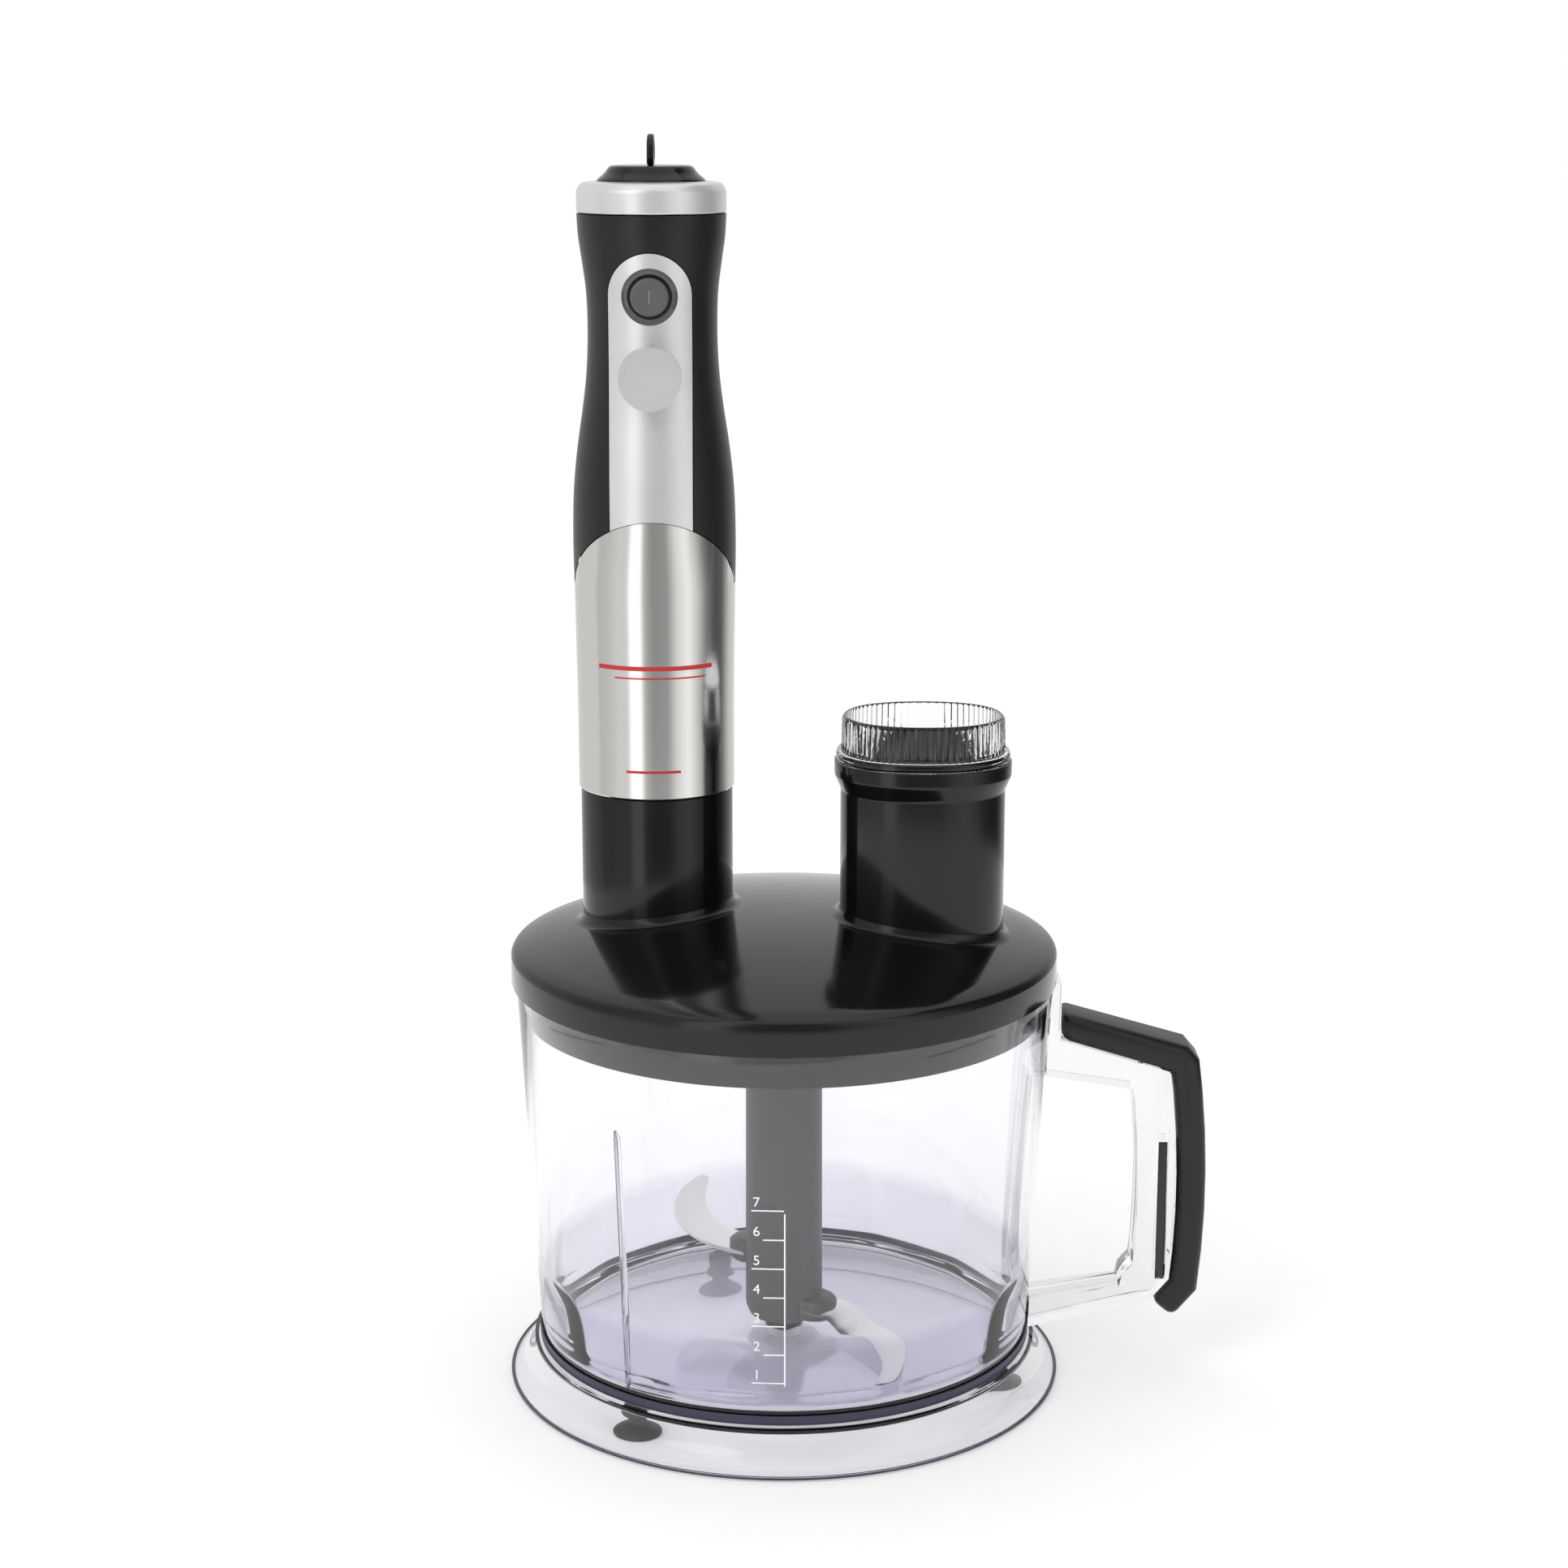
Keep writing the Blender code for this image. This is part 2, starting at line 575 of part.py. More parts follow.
def make_grip_clip(parent, material):
    (x0, z0), (x1, z1) = clip_corners(GAP)
    half = HANDLE_WIDTH / 2 - GAP
    return place(block("grip_clip", (x0, -half, z0), (x1, half, z1), material), parent)


def make_handle_grip(parent, material):
    """The soft grip over the outside of the frame."""
    outline = grip_line(0) + list(reversed(grip_line(GRIP_THICKNESS)))
    return place(extruded("handle_grip", outline, -GRIP_WIDTH / 2, GRIP_WIDTH / 2, material, "Y"), parent)


# ---------------------------------------------------------------- hub and blades

def blade_rings(root, tip, heights, room=0.0):
    """Cross-sections of a curved blade along +X. Heights are those at its root, bend and tip."""
    rings = []
    span = tip - root
    count = 9
    for i in range(count):
        t = i / (count - 1)
        radius = root + span * t
        sweep = -math.radians(BLADE_SWEEP) * max(radius - HUB_RADIUS, 0) ** 2 / span**2
        bend = min(max((radius - 22.0) / 12.0, 0.0), 1.0)
        height = heights[0] + (heights[1] - heights[0]) * bend + (heights[2] - heights[1]) * t**2
        half = (BLADE_WIDTH / 2) * math.sqrt(max(1 - 0.9 * t**4, 0)) + room
        thick = BLADE_THICKNESS / 2 + room
        along = Vector((math.cos(sweep), math.sin(sweep)))
        across = Vector((-along.y, along.x))
        left, right = along * radius + across * half, along * radius - across * half
        rings.append([(right.x, right.y, height - thick), (left.x, left.y, height - thick),
                      (left.x, left.y, height + thick), (right.x, right.y, height + thick)])
    return rings


# Each blade: (root radius, tip radius, (height at the root, after the bend, at the tip))
BLADE_ROOT = HUB_RADIUS - 2.0
UPPER_BLADE = (BLADE_ROOT, UPPER_BLADE_RADIUS,
               (UPPER_LOBE_HEIGHT, UPPER_LOBE_HEIGHT, UPPER_LOBE_HEIGHT + UPPER_BLADE_RISE))
LOWER_BLADE = (BLADE_ROOT, LOWER_BLADE_RADIUS,
               (LOWER_LOBE_HEIGHT, LOWER_LOBE_HEIGHT - LOWER_BLADE_DROP,
                LOWER_LOBE_HEIGHT - LOWER_BLADE_DROP - 0.5))


def make_blade(name, shape, angle, parent, material):
    root, tip, heights = shape
    blade = lofted(name, blade_rings(root + GAP, tip, heights), material, closed=False)
    return place(turn(blade, angle), parent)


def make_lobe(angle, reach, height):
    half = LOBE_RADIUS
    outline = [(0, -half), *arc((reach, 0), half, -90, 90, 8), (0, half)]
    lobe = extruded("lobe", outline, height - LOBE_THICKNESS / 2, height + LOBE_THICKNESS / 2)
    return turn(lobe, angle)


def make_blade_hub(parent, material):
    """A tube over the spindle pin, with a lobe for each blade and a hexagon at its top."""
    bore_top = HUB_BOTTOM + SPINDLE_LENGTH + 4
    profile = [
        (0, HUB_BOTTOM), (HUB_RADIUS, HUB_BOTTOM), (HUB_RADIUS, HUB_TOP - 2), (HUB_RADIUS - 2, HUB_TOP),
        (0, HUB_TOP),
    ]
    hub = turned("blade_hub", profile, material, STEPS_MEDIUM)
    join(hub, extruded("hex", polygon(6, HUB_HEX), HUB_TOP - 2, HUB_TOP + HUB_HEX_HEIGHT))
    join(hub, make_lobe(UPPER_LOBE_ANGLE, UPPER_LOBE_REACH, UPPER_LOBE_HEIGHT))
    join(hub, make_lobe(LOWER_LOBE_ANGLE, LOWER_LOBE_REACH, LOWER_LOBE_HEIGHT))
    cut(hub, rod("bore", HUB_BORE_RADIUS, HUB_BOTTOM - 1, bore_top))
    for shape, angle in ((UPPER_BLADE, UPPER_LOBE_ANGLE), (LOWER_BLADE, LOWER_LOBE_ANGLE)):
        slot = lofted("slot", blade_rings(*shape, room=GAP), closed=False)
        cut(hub, turn(slot, angle))
    return place(hub, parent)


def make_hub_bush(parent, material):
    low, high = HUB_BOTTOM + 1.5, HUB_BOTTOM + SPINDLE_LENGTH - 6
    inner, outer = SPINDLE_RADIUS + GAP, HUB_BORE_RADIUS - GAP
    profile = [(inner, low), (outer, low), (outer, high), (inner, high)]
    return place(turned("hub_bush", profile, material, STEPS_SMALL), parent)


# ---------------------------------------------------------------- lid

def dome_height(radius):
    """Top of the lid's dome at a distance from the bowl's axis."""
    return LID_APEX - LID_DOME_RADIUS + math.sqrt(LID_DOME_RADIUS**2 - radius**2)


def screw_places():
    """Gear cover screws: one each side of the output wheel, and one past the pinion."""
    across = Vector((-DRIVE.y, DRIVE.x)).normalized()
    beside = gear_room(OUTPUT_TEETH) + GEAR_COVER_WALL + SCREW_BOSS_RADIUS + GAP
    beyond = gear_room(PINION_TEETH) + GEAR_COVER_WALL + SCREW_BOSS_RADIUS + GAP
    return [across * beside, across * -beside, DRIVE + DRIVE.normalized() * beyond]


def add_screw_boss(piece, place_in_plan, top):
    """A post with a blind hole, hanging from a piece down to the gear cover."""
    bottom = GEAR_COVER_BOTTOM + GEAR_COVER_THICKNESS + GAP
    x, y = place_in_plan
    join(piece, move(rod("post", SCREW_BOSS_RADIUS, bottom, top), x, y))
    cut(piece, move(rod("hole", SCREW_RADIUS + GAP, bottom - 1, bottom + 9), x, y))


def make_lid_cover(parent, material):
    skirt_bottom = LID_BOTTOM - LID_SKIRT_DEPTH
    skirt_inside = LID_SKIRT_RADIUS - LID_SKIRT_WALL
    rim_inside = LID_RADIUS - LID_RIM_WALL
    rings = (10, 40, 70)
    under = [(r, dome_height(r) - LID_WALL) for r in (*rings, skirt_inside)]
    over = [(r, dome_height(r)) for r in reversed(rings)]
    edge = arc((LID_FLAT_RADIUS, LID_EDGE - LID_EDGE_ROUND), LID_EDGE_ROUND, 0, 90, 2)
    profile = [
        (0, under[0][1]), *under, (skirt_inside, skirt_bottom), (LID_SKIRT_RADIUS, skirt_bottom),
        (LID_SKIRT_RADIUS, LID_CHANNEL_TOP), (rim_inside, LID_CHANNEL_TOP), (rim_inside, LID_BOTTOM),
        (LID_RADIUS, LID_BOTTOM), *edge, *over, (0, over[-1][1]),
    ]
    lid = turned("lid_cover", profile, material, STEPS_LARGE)
    cut(lid, move(rod("hole", COLLAR_RADIUS + GAP, LID_BOTTOM, LID_APEX + 5, STEPS_MEDIUM), *DRIVE))
    opening = oval_prism("hole", CHUTE_HALF_WIDTH + GAP, CHUTE_HALF_DEPTH + GAP, LID_BOTTOM, LID_APEX + 5)
    cut(lid, move(opening, *CHUTE))
    for spot in screw_places()[:2]:
        add_screw_boss(lid, spot, dome_height(spot.length) - LID_WALL / 2)
    return place(lid, parent)


def make_lid_seal(parent, material):
    inner, outer = LID_SKIRT_RADIUS + GAP, LID_RADIUS - LID_RIM_WALL - GAP
    low, high = BOWL_TOP + GAP, BOWL_TOP + GAP + SEAL_HEIGHT
    profile = [(inner, low), (outer, low), (outer, high), (inner, high)]
    return place(turned("lid_seal", profile, material, STEPS_LARGE), parent)


def make_drive_collar(parent, material):
    """The upright cup that the motor unit plugs into. Its floor carries the drive."""
    floor_top = COLLAR_BOTTOM + COLLAR_FLOOR
    inside = COLLAR_RADIUS - COLLAR_WALL
    profile = [
        (0, COLLAR_BOTTOM), (COLLAR_RADIUS, COLLAR_BOTTOM), (COLLAR_RADIUS, COLLAR_TOP),
        (inside + 0.8, COLLAR_TOP), (inside, COLLAR_TOP - 1.2), (inside, floor_top), (0, floor_top),
    ]
    collar = turned("drive_collar", profile, material, STEPS_MEDIUM)
    cut(collar, rod("hole", PINION_SHAFT_RADIUS + RUNNING_GAP, COLLAR_BOTTOM - 1, floor_top + 1))
    pin_hole = rod("hole", IDLER_PIN_RADIUS + GAP, COLLAR_BOTTOM - 1, COLLAR_BOTTOM + 4.5)
    cut(collar, move(pin_hole, *(IDLER - DRIVE)))
    add_screw_boss(collar, screw_places()[2] - DRIVE, COLLAR_BOTTOM + 1)
    return place(collar, parent, *DRIVE)


def make_feed_chute(parent, material):
    """An oval tube through the lid, with a thicker collar at its mouth."""
    shoulder = CHUTE_TOP - CHUTE_COLLAR_HEIGHT
    step = CHUTE_COLLAR_STEP
    profile = [
        (-CHUTE_WALL, CHUTE_BOTTOM), (0, CHUTE_BOTTOM), (0, shoulder - CHUTE_COLLAR_TAPER), (step, shoulder),
        (step, CHUTE_TOP - 1), (step - 1, CHUTE_TOP), (-CHUTE_WALL, CHUTE_TOP),
    ]
    chute = oval("feed_chute", profile, CHUTE_HALF_WIDTH, CHUTE_HALF_DEPTH, material)
    return place(chute, parent, *CHUTE)


def make_pusher(parent, material):
    """A clear cup that slides in the chute and hangs from a flange on its mouth."""
    tube = -CHUTE_WALL - SLIDING_GAP
    flange_bottom = CHUTE_TOP + GAP
    flange_top = flange_bottom + PUSHER_FLANGE_HEIGHT
    top = flange_top + PUSHER_CAP_HEIGHT
    cap_inside = -PUSHER_WALL
    outline = [
        (tube, PUSHER_BOTTOM), (tube, flange_bottom), (CHUTE_COLLAR_STEP - 0.6, flange_bottom),
        (CHUTE_COLLAR_STEP - 0.6, flange_top), (0, flange_top), (0, top), (cap_inside, top),
        (cap_inside, flange_top), (tube - PUSHER_WALL, flange_top - 2),
        (tube - PUSHER_WALL, PUSHER_BOTTOM + PUSHER_WALL),
    ]
    rings = [ring_points((CHUTE_HALF_WIDTH + d, CHUTE_HALF_DEPTH + d), z, STEPS_MEDIUM, CHUTE_SQUARENESS)
             for d, z in outline]
    return place(lofted("pusher", rings, material, closed=False), parent, *CHUTE)


# ---------------------------------------------------------------- gears in the lid

def gear_outer(teeth):
    return GEAR_MODULE * (teeth / 2 + ADDENDUM)


def gear_room(teeth):
    """Inside radius of the gear cover's wall round a wheel."""
    return gear_outer(teeth) + GEAR_COVER_ROOM


def gear_outline(teeth, tooth_angle):
    """Involute teeth, one of them centred on the given direction in degrees."""
    pitch = GEAR_MODULE * teeth / 2
    base = pitch * math.cos(math.radians(PRESSURE_ANGLE))
    root = pitch - DEDENDUM * GEAR_MODULE
    pressure = math.radians(PRESSURE_ANGLE)
    half_at_pitch = math.pi / (2 * teeth) - BACKLASH / (2 * pitch)
    flank = []
    for radius in (root, max(pitch, base), gear_outer(teeth)):
        roll = math.acos(min(base / radius, 1.0))
        half = half_at_pitch + (math.tan(pressure) - pressure) - (math.tan(roll) - roll)
        flank.append((radius, half))
    points = []
    for tooth in range(teeth):
        middle = math.radians(tooth_angle) + 2 * math.pi * tooth / teeth
        for side, part in ((-1, flank), (1, reversed(flank))):
            for radius, half in part:
                angle = middle + side * half
                points.append((radius * math.cos(angle), radius * math.sin(angle)))
    return points


def gap_angle(teeth, direction):
    """Tooth direction that leaves a gap, not a tooth, facing the given direction."""
    return direction + 180 / teeth


def make_input_pinion(parent, material):
    level = UPPER_GEARS
    towards_idler = DRIVE_ANGLE + 180
    shaft_bottom = GEAR_COVER_BOTTOM + GEAR_COVER_THICKNESS + RUNNING_GAP
    shaft_top = COUPLER_TOP - SOCKET_DEPTH - 1.5
    gear = extruded("input_pinion", gear_outline(PINION_TEETH, gap_angle(PINION_TEETH, towards_idler)),
                    level, level + GEAR_WIDTH, material)
    join(gear, rod("shaft", PINION_SHAFT_RADIUS, shaft_bottom, shaft_top))
    return place(gear, parent, *DRIVE)


def make_input_coupling(parent, material):
    """The socket on the pinion's shaft, which takes the motor's drive dog."""
    bore_top = COUPLER_TOP - SOCKET_DEPTH - 1.5 + GAP
    socket = rod("input_coupling", COUPLER_RADIUS, COUPLER_BOTTOM, COUPLER_TOP, STEPS_MEDIUM,
                 material=material)
    cut(socket, rod("bore", PINION_SHAFT_RADIUS + GAP, COUPLER_BOTTOM - 1, bore_top))
    hexagon = polygon(6, DOG_HEX + 2 * GAP)
    cut(socket, extruded("hex", hexagon, COUPLER_TOP - SOCKET_DEPTH, COUPLER_TOP + 1))
    return place(socket, parent, *DRIVE)


def make_idler_gear(parent, material):
    """Two wheels in one: the large one meets the pinion, the small one the output wheel."""
    large = gear_outline(IDLER_LARGE_TEETH, DRIVE_ANGLE)
    small = gear_outline(IDLER_SMALL_TEETH, DRIVE_ANGLE + 180)
    gear = extruded("idler_gear", large, UPPER_GEARS, UPPER_GEARS + GEAR_WIDTH, material)
    join(gear, extruded("small", small, LOWER_GEARS, UPPER_GEARS + 1))
    bore = IDLER_PIN_RADIUS + RUNNING_GAP
    cut(gear, rod("bore", bore, LOWER_GEARS - 1, UPPER_GEARS + GEAR_WIDTH + 1))
    return place(gear, parent, *IDLER)


def make_idler_pin(parent, material):
    bottom = GEAR_COVER_BOTTOM + GAP
    pin = rod("idler_pin", IDLER_PIN_RADIUS, bottom, COLLAR_BOTTOM + 4.2, material=material)
    return place(pin, parent, *IDLER)


def make_output_gear(parent, material):
    """The wheel that turns the hub: a journal in the gear cover and a hexagonal socket."""
    outline = gear_outline(OUTPUT_TEETH, gap_angle(OUTPUT_TEETH, DRIVE_ANGLE))
    gear = extruded("output_gear", outline, LOWER_GEARS, LOWER_GEARS + GEAR_WIDTH, material)
    join(gear, rod("journal", HUB_HEX * 0.5 + 4, GEAR_COVER_BOTTOM + GAP, LOWER_GEARS + 1, STEPS_MEDIUM))
    socket = polygon(6, HUB_HEX + 2 * GAP)
    cut(gear, extruded("hex", socket, GEAR_COVER_BOTTOM - 1, LOWER_GEARS + GEAR_WIDTH + 1))
    return place(gear, parent)


def hull_of_circles(circles):
    """Outline round several circles, each given by its centre and radius."""
    points = []
    for centre, radius in circles:
        points += [Vector(p) for p in arc(centre, radius, 0, 345, 23)]
    return [tuple(points[i]) for i in convex_hull_2d(points)]


def make_gear_cover(parent, material):
    """The pan under the gears, with a wall round them and a hole for each screw."""
    origin = Vector((0, 0))
    wheels = ((origin, OUTPUT_TEETH), (IDLER, IDLER_LARGE_TEETH), (DRIVE, PINION_TEETH))
    inside = [(centre, gear_room(teeth)) for centre, teeth in wheels]
    outside = [(centre, radius + GEAR_COVER_WALL) for centre, radius in inside]
    ears = [(spot, SCREW_BOSS_RADIUS) for spot in screw_places()]
    floor_top = GEAR_COVER_BOTTOM + GEAR_COVER_THICKNESS
    wall_top = COLLAR_BOTTOM - GAP
    plate = extruded("gear_cover", hull_of_circles(outside + ears), GEAR_COVER_BOTTOM, floor_top, material)
    join(plate, extruded("wall", hull_of_circles(outside), GEAR_COVER_BOTTOM + 1, wall_top))
    cut(plate, extruded("room", hull_of_circles(inside), floor_top, wall_top + 1))
    low, high = GEAR_COVER_BOTTOM - 1, floor_top + 1
    cut(plate, rod("hole", HUB_HEX * 0.5 + 4 + RUNNING_GAP, low, high, STEPS_MEDIUM))
    cut(plate, move(rod("hole", IDLER_PIN_RADIUS + GAP, low, high), *IDLER))
    for spot in screw_places():
        cut(plate, move(rod("hole", SCREW_RADIUS + GAP, low, high), *spot))
    return place(plate, parent)


def make_gear_cover_screws(parent, material):
    head_top = GEAR_COVER_BOTTOM - GAP
    shank_top = GEAR_COVER_BOTTOM + GEAR_COVER_THICKNESS + 8
    profile = [
        (0, head_top - SCREW_HEAD_HEIGHT), (SCREW_HEAD_RADIUS - 0.8, head_top - SCREW_HEAD_HEIGHT),
        (SCREW_HEAD_RADIUS, head_top - SCREW_HEAD_HEIGHT / 2), (SCREW_HEAD_RADIUS, head_top),
        (SCREW_RADIUS, head_top), (SCREW_RADIUS, shank_top), (0, shank_top),
    ]
    for number, spot in enumerate(screw_places(), start=1):
        place(turned(f"gear_cover_screw_{number}", profile, material, STEPS_SMALL), parent, *spot)


# ---------------------------------------------------------------- motor unit: casing

def body_radius(height):
    """Outside radius of the grip at a height, from its outline."""
    if height <= BODY_OUTLINE[0][0]:
        return BODY_OUTLINE[0][1]
    for (low, r0), (high, r1) in zip(BODY_OUTLINE, BODY_OUTLINE[1:]):
        if height <= high:
            return r0 + (r1 - r0) * (height - low) / (high - low)
    return BODY_OUTLINE[-1][1]


def body_skin(name, proud, inset, material=None, low=BODY_BOTTOM, high=BODY_OUTLINE[-1][0]):
    """A ring that follows the grip, from an inset inside its surface to a proud skin."""
    heights = [low] + [z for z, _ in BODY_OUTLINE if low < z < high] + [high]
    outer = [(body_radius(z) + proud, z) for z in heights]
    inner = [(min(body_radius(z) - inset, BODY_INNER_RADIUS), z) for z in reversed(heights)]
    return turned(name, outer + inner, material, STEPS_MEDIUM)


def arch_prism(gap):
    """Everything below the sleeve's arched top edge, seen from the front."""
    side = SLEEVE_RADIUS + 10
    corner = ARCH_CORNER + gap
    curve = arc((0, corner), (SLEEVE_RADIUS + gap, ARCH_TOP - ARCH_CORNER), 0, 180, 24)
    outline = [(-side, corner), (-side, SLEEVE_BOTTOM - 5), (side, SLEEVE_BOTTOM - 5), (side, corner)]
    return extruded("arch", outline + curve, -side, side, axis="Y")


def sleeve_space():
    """The room that the sleeve takes from what stands inside it."""
    space = arch_prism(GAP)
    return cut(space, rod("core", SLEEVE_ROOM, SLEEVE_BOTTOM - 6, ARCH_TOP + 5, STEPS_MEDIUM))


def panel_prism(gap):
    """The front panel's outline, seen from the front, carried through the front of the grip."""
    half = PANEL_HALF_WIDTH + gap
    top = arc((0, PANEL_TOP - PANEL_HALF_WIDTH), half, 0, 180, 16)
    outline = [(-half, PANEL_BOTTOM - gap), (half, PANEL_BOTTOM - gap)] + top
    return extruded("panel_outline", outline, -40, -GAP / 2, axis="Y")


def make_handle_shells(parent, material):
    """The black grip in two halves. The front one is cut away for the panel."""
    far = 40
    for name, low_y, high_y in (("handle_shell_front", -far, -GAP / 2), ("handle_shell_rear", GAP / 2, far)):
        shell = body_skin(name, 0, BODY_WALL, material)
        keep_inside(shell, block("half", (-far, low_y, BODY_BOTTOM - 1), (far, high_y, RING_TOP)))
        cut(shell, sleeve_space())
        if name.endswith("front"):
            cut(shell, panel_prism(GAP))
        place(shell, parent)


def make_front_panel(parent, material):
    panel = body_skin("front_panel", PANEL_PROUD, BODY_WALL, material, PANEL_BOTTOM, PANEL_TOP + 1)
    keep_inside(panel, panel_prism(0))
    cut(panel, sleeve_space())
    for _, height, _, hole in BUTTONS:
        cut(panel, move(rod("hole", hole, -40, -1, STEPS_MEDIUM, "Y"), z=height))
    return place(panel, parent)


def make_lower_sleeve(parent, material):
    """The steel sleeve, with an arched top edge at the front and at the back."""
    inner = SLEEVE_RADIUS - SLEEVE_WALL
    flared = body_radius(ARCH_CORNER)
    profile = [(inner, SLEEVE_BOTTOM), (SLEEVE_RADIUS, SLEEVE_BOTTOM), (flared, ARCH_CORNER),
               (flared, ARCH_TOP + 1), (inner, ARCH_TOP + 1)]
    sleeve = turned("lower_sleeve", profile, material, STEPS_LARGE)
    keep_inside(sleeve, arch_prism(0))
    return place(sleeve, parent)


def make_top_ring(parent, material):
    hole = CAP_RADIUS + GAP
    inside = RING_RADIUS - RING_WALL
    profile = [
        (inside, RING_BOTTOM), (RING_RADIUS, RING_BOTTOM), (RING_RADIUS, RING_TOP - 2.5),
        (RING_RADIUS - 0.6, RING_TOP - 0.6), (RING_RADIUS - 1.5, RING_TOP + 0.2), (hole, RING_TOP + 1),
        (hole, RING_TOP - 1.5), (inside, RING_TOP - 2),
    ]
    return place(turned("top_ring", profile, material, STEPS_MEDIUM), parent)


def make_top_cap(parent, material):
    """The black dome, which plugs into the ring and is hollow underneath."""
    wall = 2.4
    plug = RING_BOTTOM + 2
    edge = RING_TOP + 1.6
    over = arc((CAP_TOP_RADIUS, edge), (CAP_RADIUS - CAP_TOP_RADIUS, CAP_TOP - edge), 0, 90, 4)
    profile = [
        (0, CAP_TOP - wall), (CAP_TOP_RADIUS - 1, CAP_TOP - wall), (CAP_RADIUS - wall, RING_TOP),
        (CAP_RADIUS - wall, plug), (CAP_RADIUS, plug), *over, (0, CAP_TOP),
    ]
    return place(turned("top_cap", profile, material, STEPS_MEDIUM), parent)


def make_hanging_loop(parent, material):
    centre = LOOP_TOP - LOOP_RADIUS
    base = CAP_TOP + GAP
    lean = math.degrees(math.asin((centre - base) / LOOP_RADIUS))
    outline = arc((0, centre), LOOP_RADIUS, -lean, 180 + lean, 20)
    loop = extruded("hanging_loop", outline, -LOOP_THICKNESS / 2, LOOP_THICKNESS / 2, material, "X")
    eye = rod("eye", LOOP_EYE_RADIUS, -LOOP_THICKNESS, LOOP_THICKNESS, STEPS_SMALL, "X")
    cut(loop, move(eye, z=base + 1.5 + LOOP_EYE_RADIUS))
    return place(loop, parent)


def make_coupling_housing(parent, material):
    """The plug below the sleeve that goes into the lid's collar, open underneath for the drive."""
    outside = COLLAR_RADIUS - COLLAR_WALL - SLIDING_GAP
    inside = outside - COUPLING_WALL
    shoulder = SLEEVE_BOTTOM + GAP
    top = BODY_BOTTOM - GAP
    profile = [
        (0, shoulder + 1), (inside, shoulder + 1), (inside, COUPLING_BOTTOM), (outside, COUPLING_BOTTOM),
        (outside, shoulder), (SLEEVE_ROOM, shoulder), (SLEEVE_ROOM, top), (0, top),
    ]
    housing = turned("coupling_housing", profile, material, STEPS_MEDIUM)
    cut(housing, rod("hole", SHAFT_RADIUS + RUNNING_GAP, shoulder - 1, top + 1))
    return place(housing, parent)


# ---------------------------------------------------------------- motor unit: controls

def button_depths(height, face):
    """Distances in front of the drive axis of a button's flange, tip and face."""
    inside = body_radius(height) - BODY_WALL
    flange_front = math.sqrt(inside**2 - (face + BUTTON_FLANGE) ** 2) - 2 * GAP
    flange_back = flange_front - BUTTON_FLANGE_THICKNESS
    return flange_front, flange_back, flange_back - 0.8, body_radius(height) + PANEL_PROUD + BUTTON_PROUD


def facing_front(piece, height):
    """Turn a piece made about +Z so that it faces the front, at a height."""
    return move(turn(piece, 90, "X"), z=height)


def make_button(name, height, face, parent, material):
    front, back, tip, top = button_depths(height, face)
    edge = arc((face - 1, top - 1), 1, 0, 75, 3)
    profile = [(0, tip), (1.5, tip), (1.5, back), (face + BUTTON_FLANGE, back),
               (face + BUTTON_FLANGE, front), (face, front), *edge, (0, top)]
    button = turned(f"{name}_button", profile, material, STEPS_SMALL)
    return place(facing_front(button, height), parent, z=height)


def make_button_spring(name, height, face, parent, material):
    """A coil spring between the button's flange and the switch board."""
    _, back, _, _ = button_depths(height, face)
    low, high = -BOARD_FRONT + GAP + SPRING_WIRE, back - GAP - SPRING_WIRE
    steps = 10 * SPRING_TURNS
    rings = []
    for i in range(steps + 1):
        angle = 2 * math.pi * SPRING_TURNS * i / steps
        middle = low + (high - low) * i / steps
        rings.append([((SPRING_RADIUS + a * SPRING_WIRE) * math.cos(angle),
                       (SPRING_RADIUS + a * SPRING_WIRE) * math.sin(angle), middle + b * SPRING_WIRE)
                      for a, b in ((-1, 0), (0, -1), (1, 0), (0, 1))])
    spring = lofted(f"{name}_spring", rings, material, closed=False)
    return place(facing_front(spring, height), parent, z=height)


def make_microswitch(name, height, face, parent, material):
    _, _, tip, _ = button_depths(height, face)
    front = tip - BUTTON_TRAVEL - GAP
    half = SWITCH_SIDE / 2
    switch = block(f"{name}_microswitch", (-half, -half, -BOARD_FRONT + GAP), (half, half, front), material)
    return place(facing_front(switch, height), parent, z=height)


def make_switch_board(parent, material):
    half = BOARD_WIDTH / 2
    board = block("switch_board", (-half, BOARD_FRONT, BOARD_BOTTOM),
                  (half, BOARD_FRONT + BOARD_THICKNESS, BOARD_TOP), material)
    return place(board, parent)


# ---------------------------------------------------------------- motor

def ring(name, inner, outer, low, high, material=None, steps=STEPS_SMALL):
    return turned(name, [(inner, low), (outer, low), (outer, high), (inner, high)], material, steps)


def make_bearings_and_brackets(parent, steel, iron):
    for name, bottom in (("lower", LOWER_BRACKET), ("upper", UPPER_BRACKET)):
        bearing_bottom = bottom + (BRACKET_THICKNESS - BEARING_HEIGHT) / 2
        bearing = ring(f"{name}_bearing", SHAFT_RADIUS + GAP, BEARING_RADIUS, bearing_bottom,
                       bearing_bottom + BEARING_HEIGHT, steel)
        bracket = ring(f"{name}_bracket", BEARING_RADIUS + GAP, BRACKET_RADIUS, bottom,
                       bottom + BRACKET_THICKNESS, iron, STEPS_MEDIUM)
        place(bearing, parent)
        place(bracket, parent)


def make_damper(parent, material):
    low = UPPER_BRACKET + BRACKET_THICKNESS + GAP
    damper = ring("motor_damper", BRACKET_RADIUS - 4, BRACKET_RADIUS, low, low + DAMPER_HEIGHT,
                  material, STEPS_MEDIUM)
    return place(damper, parent)


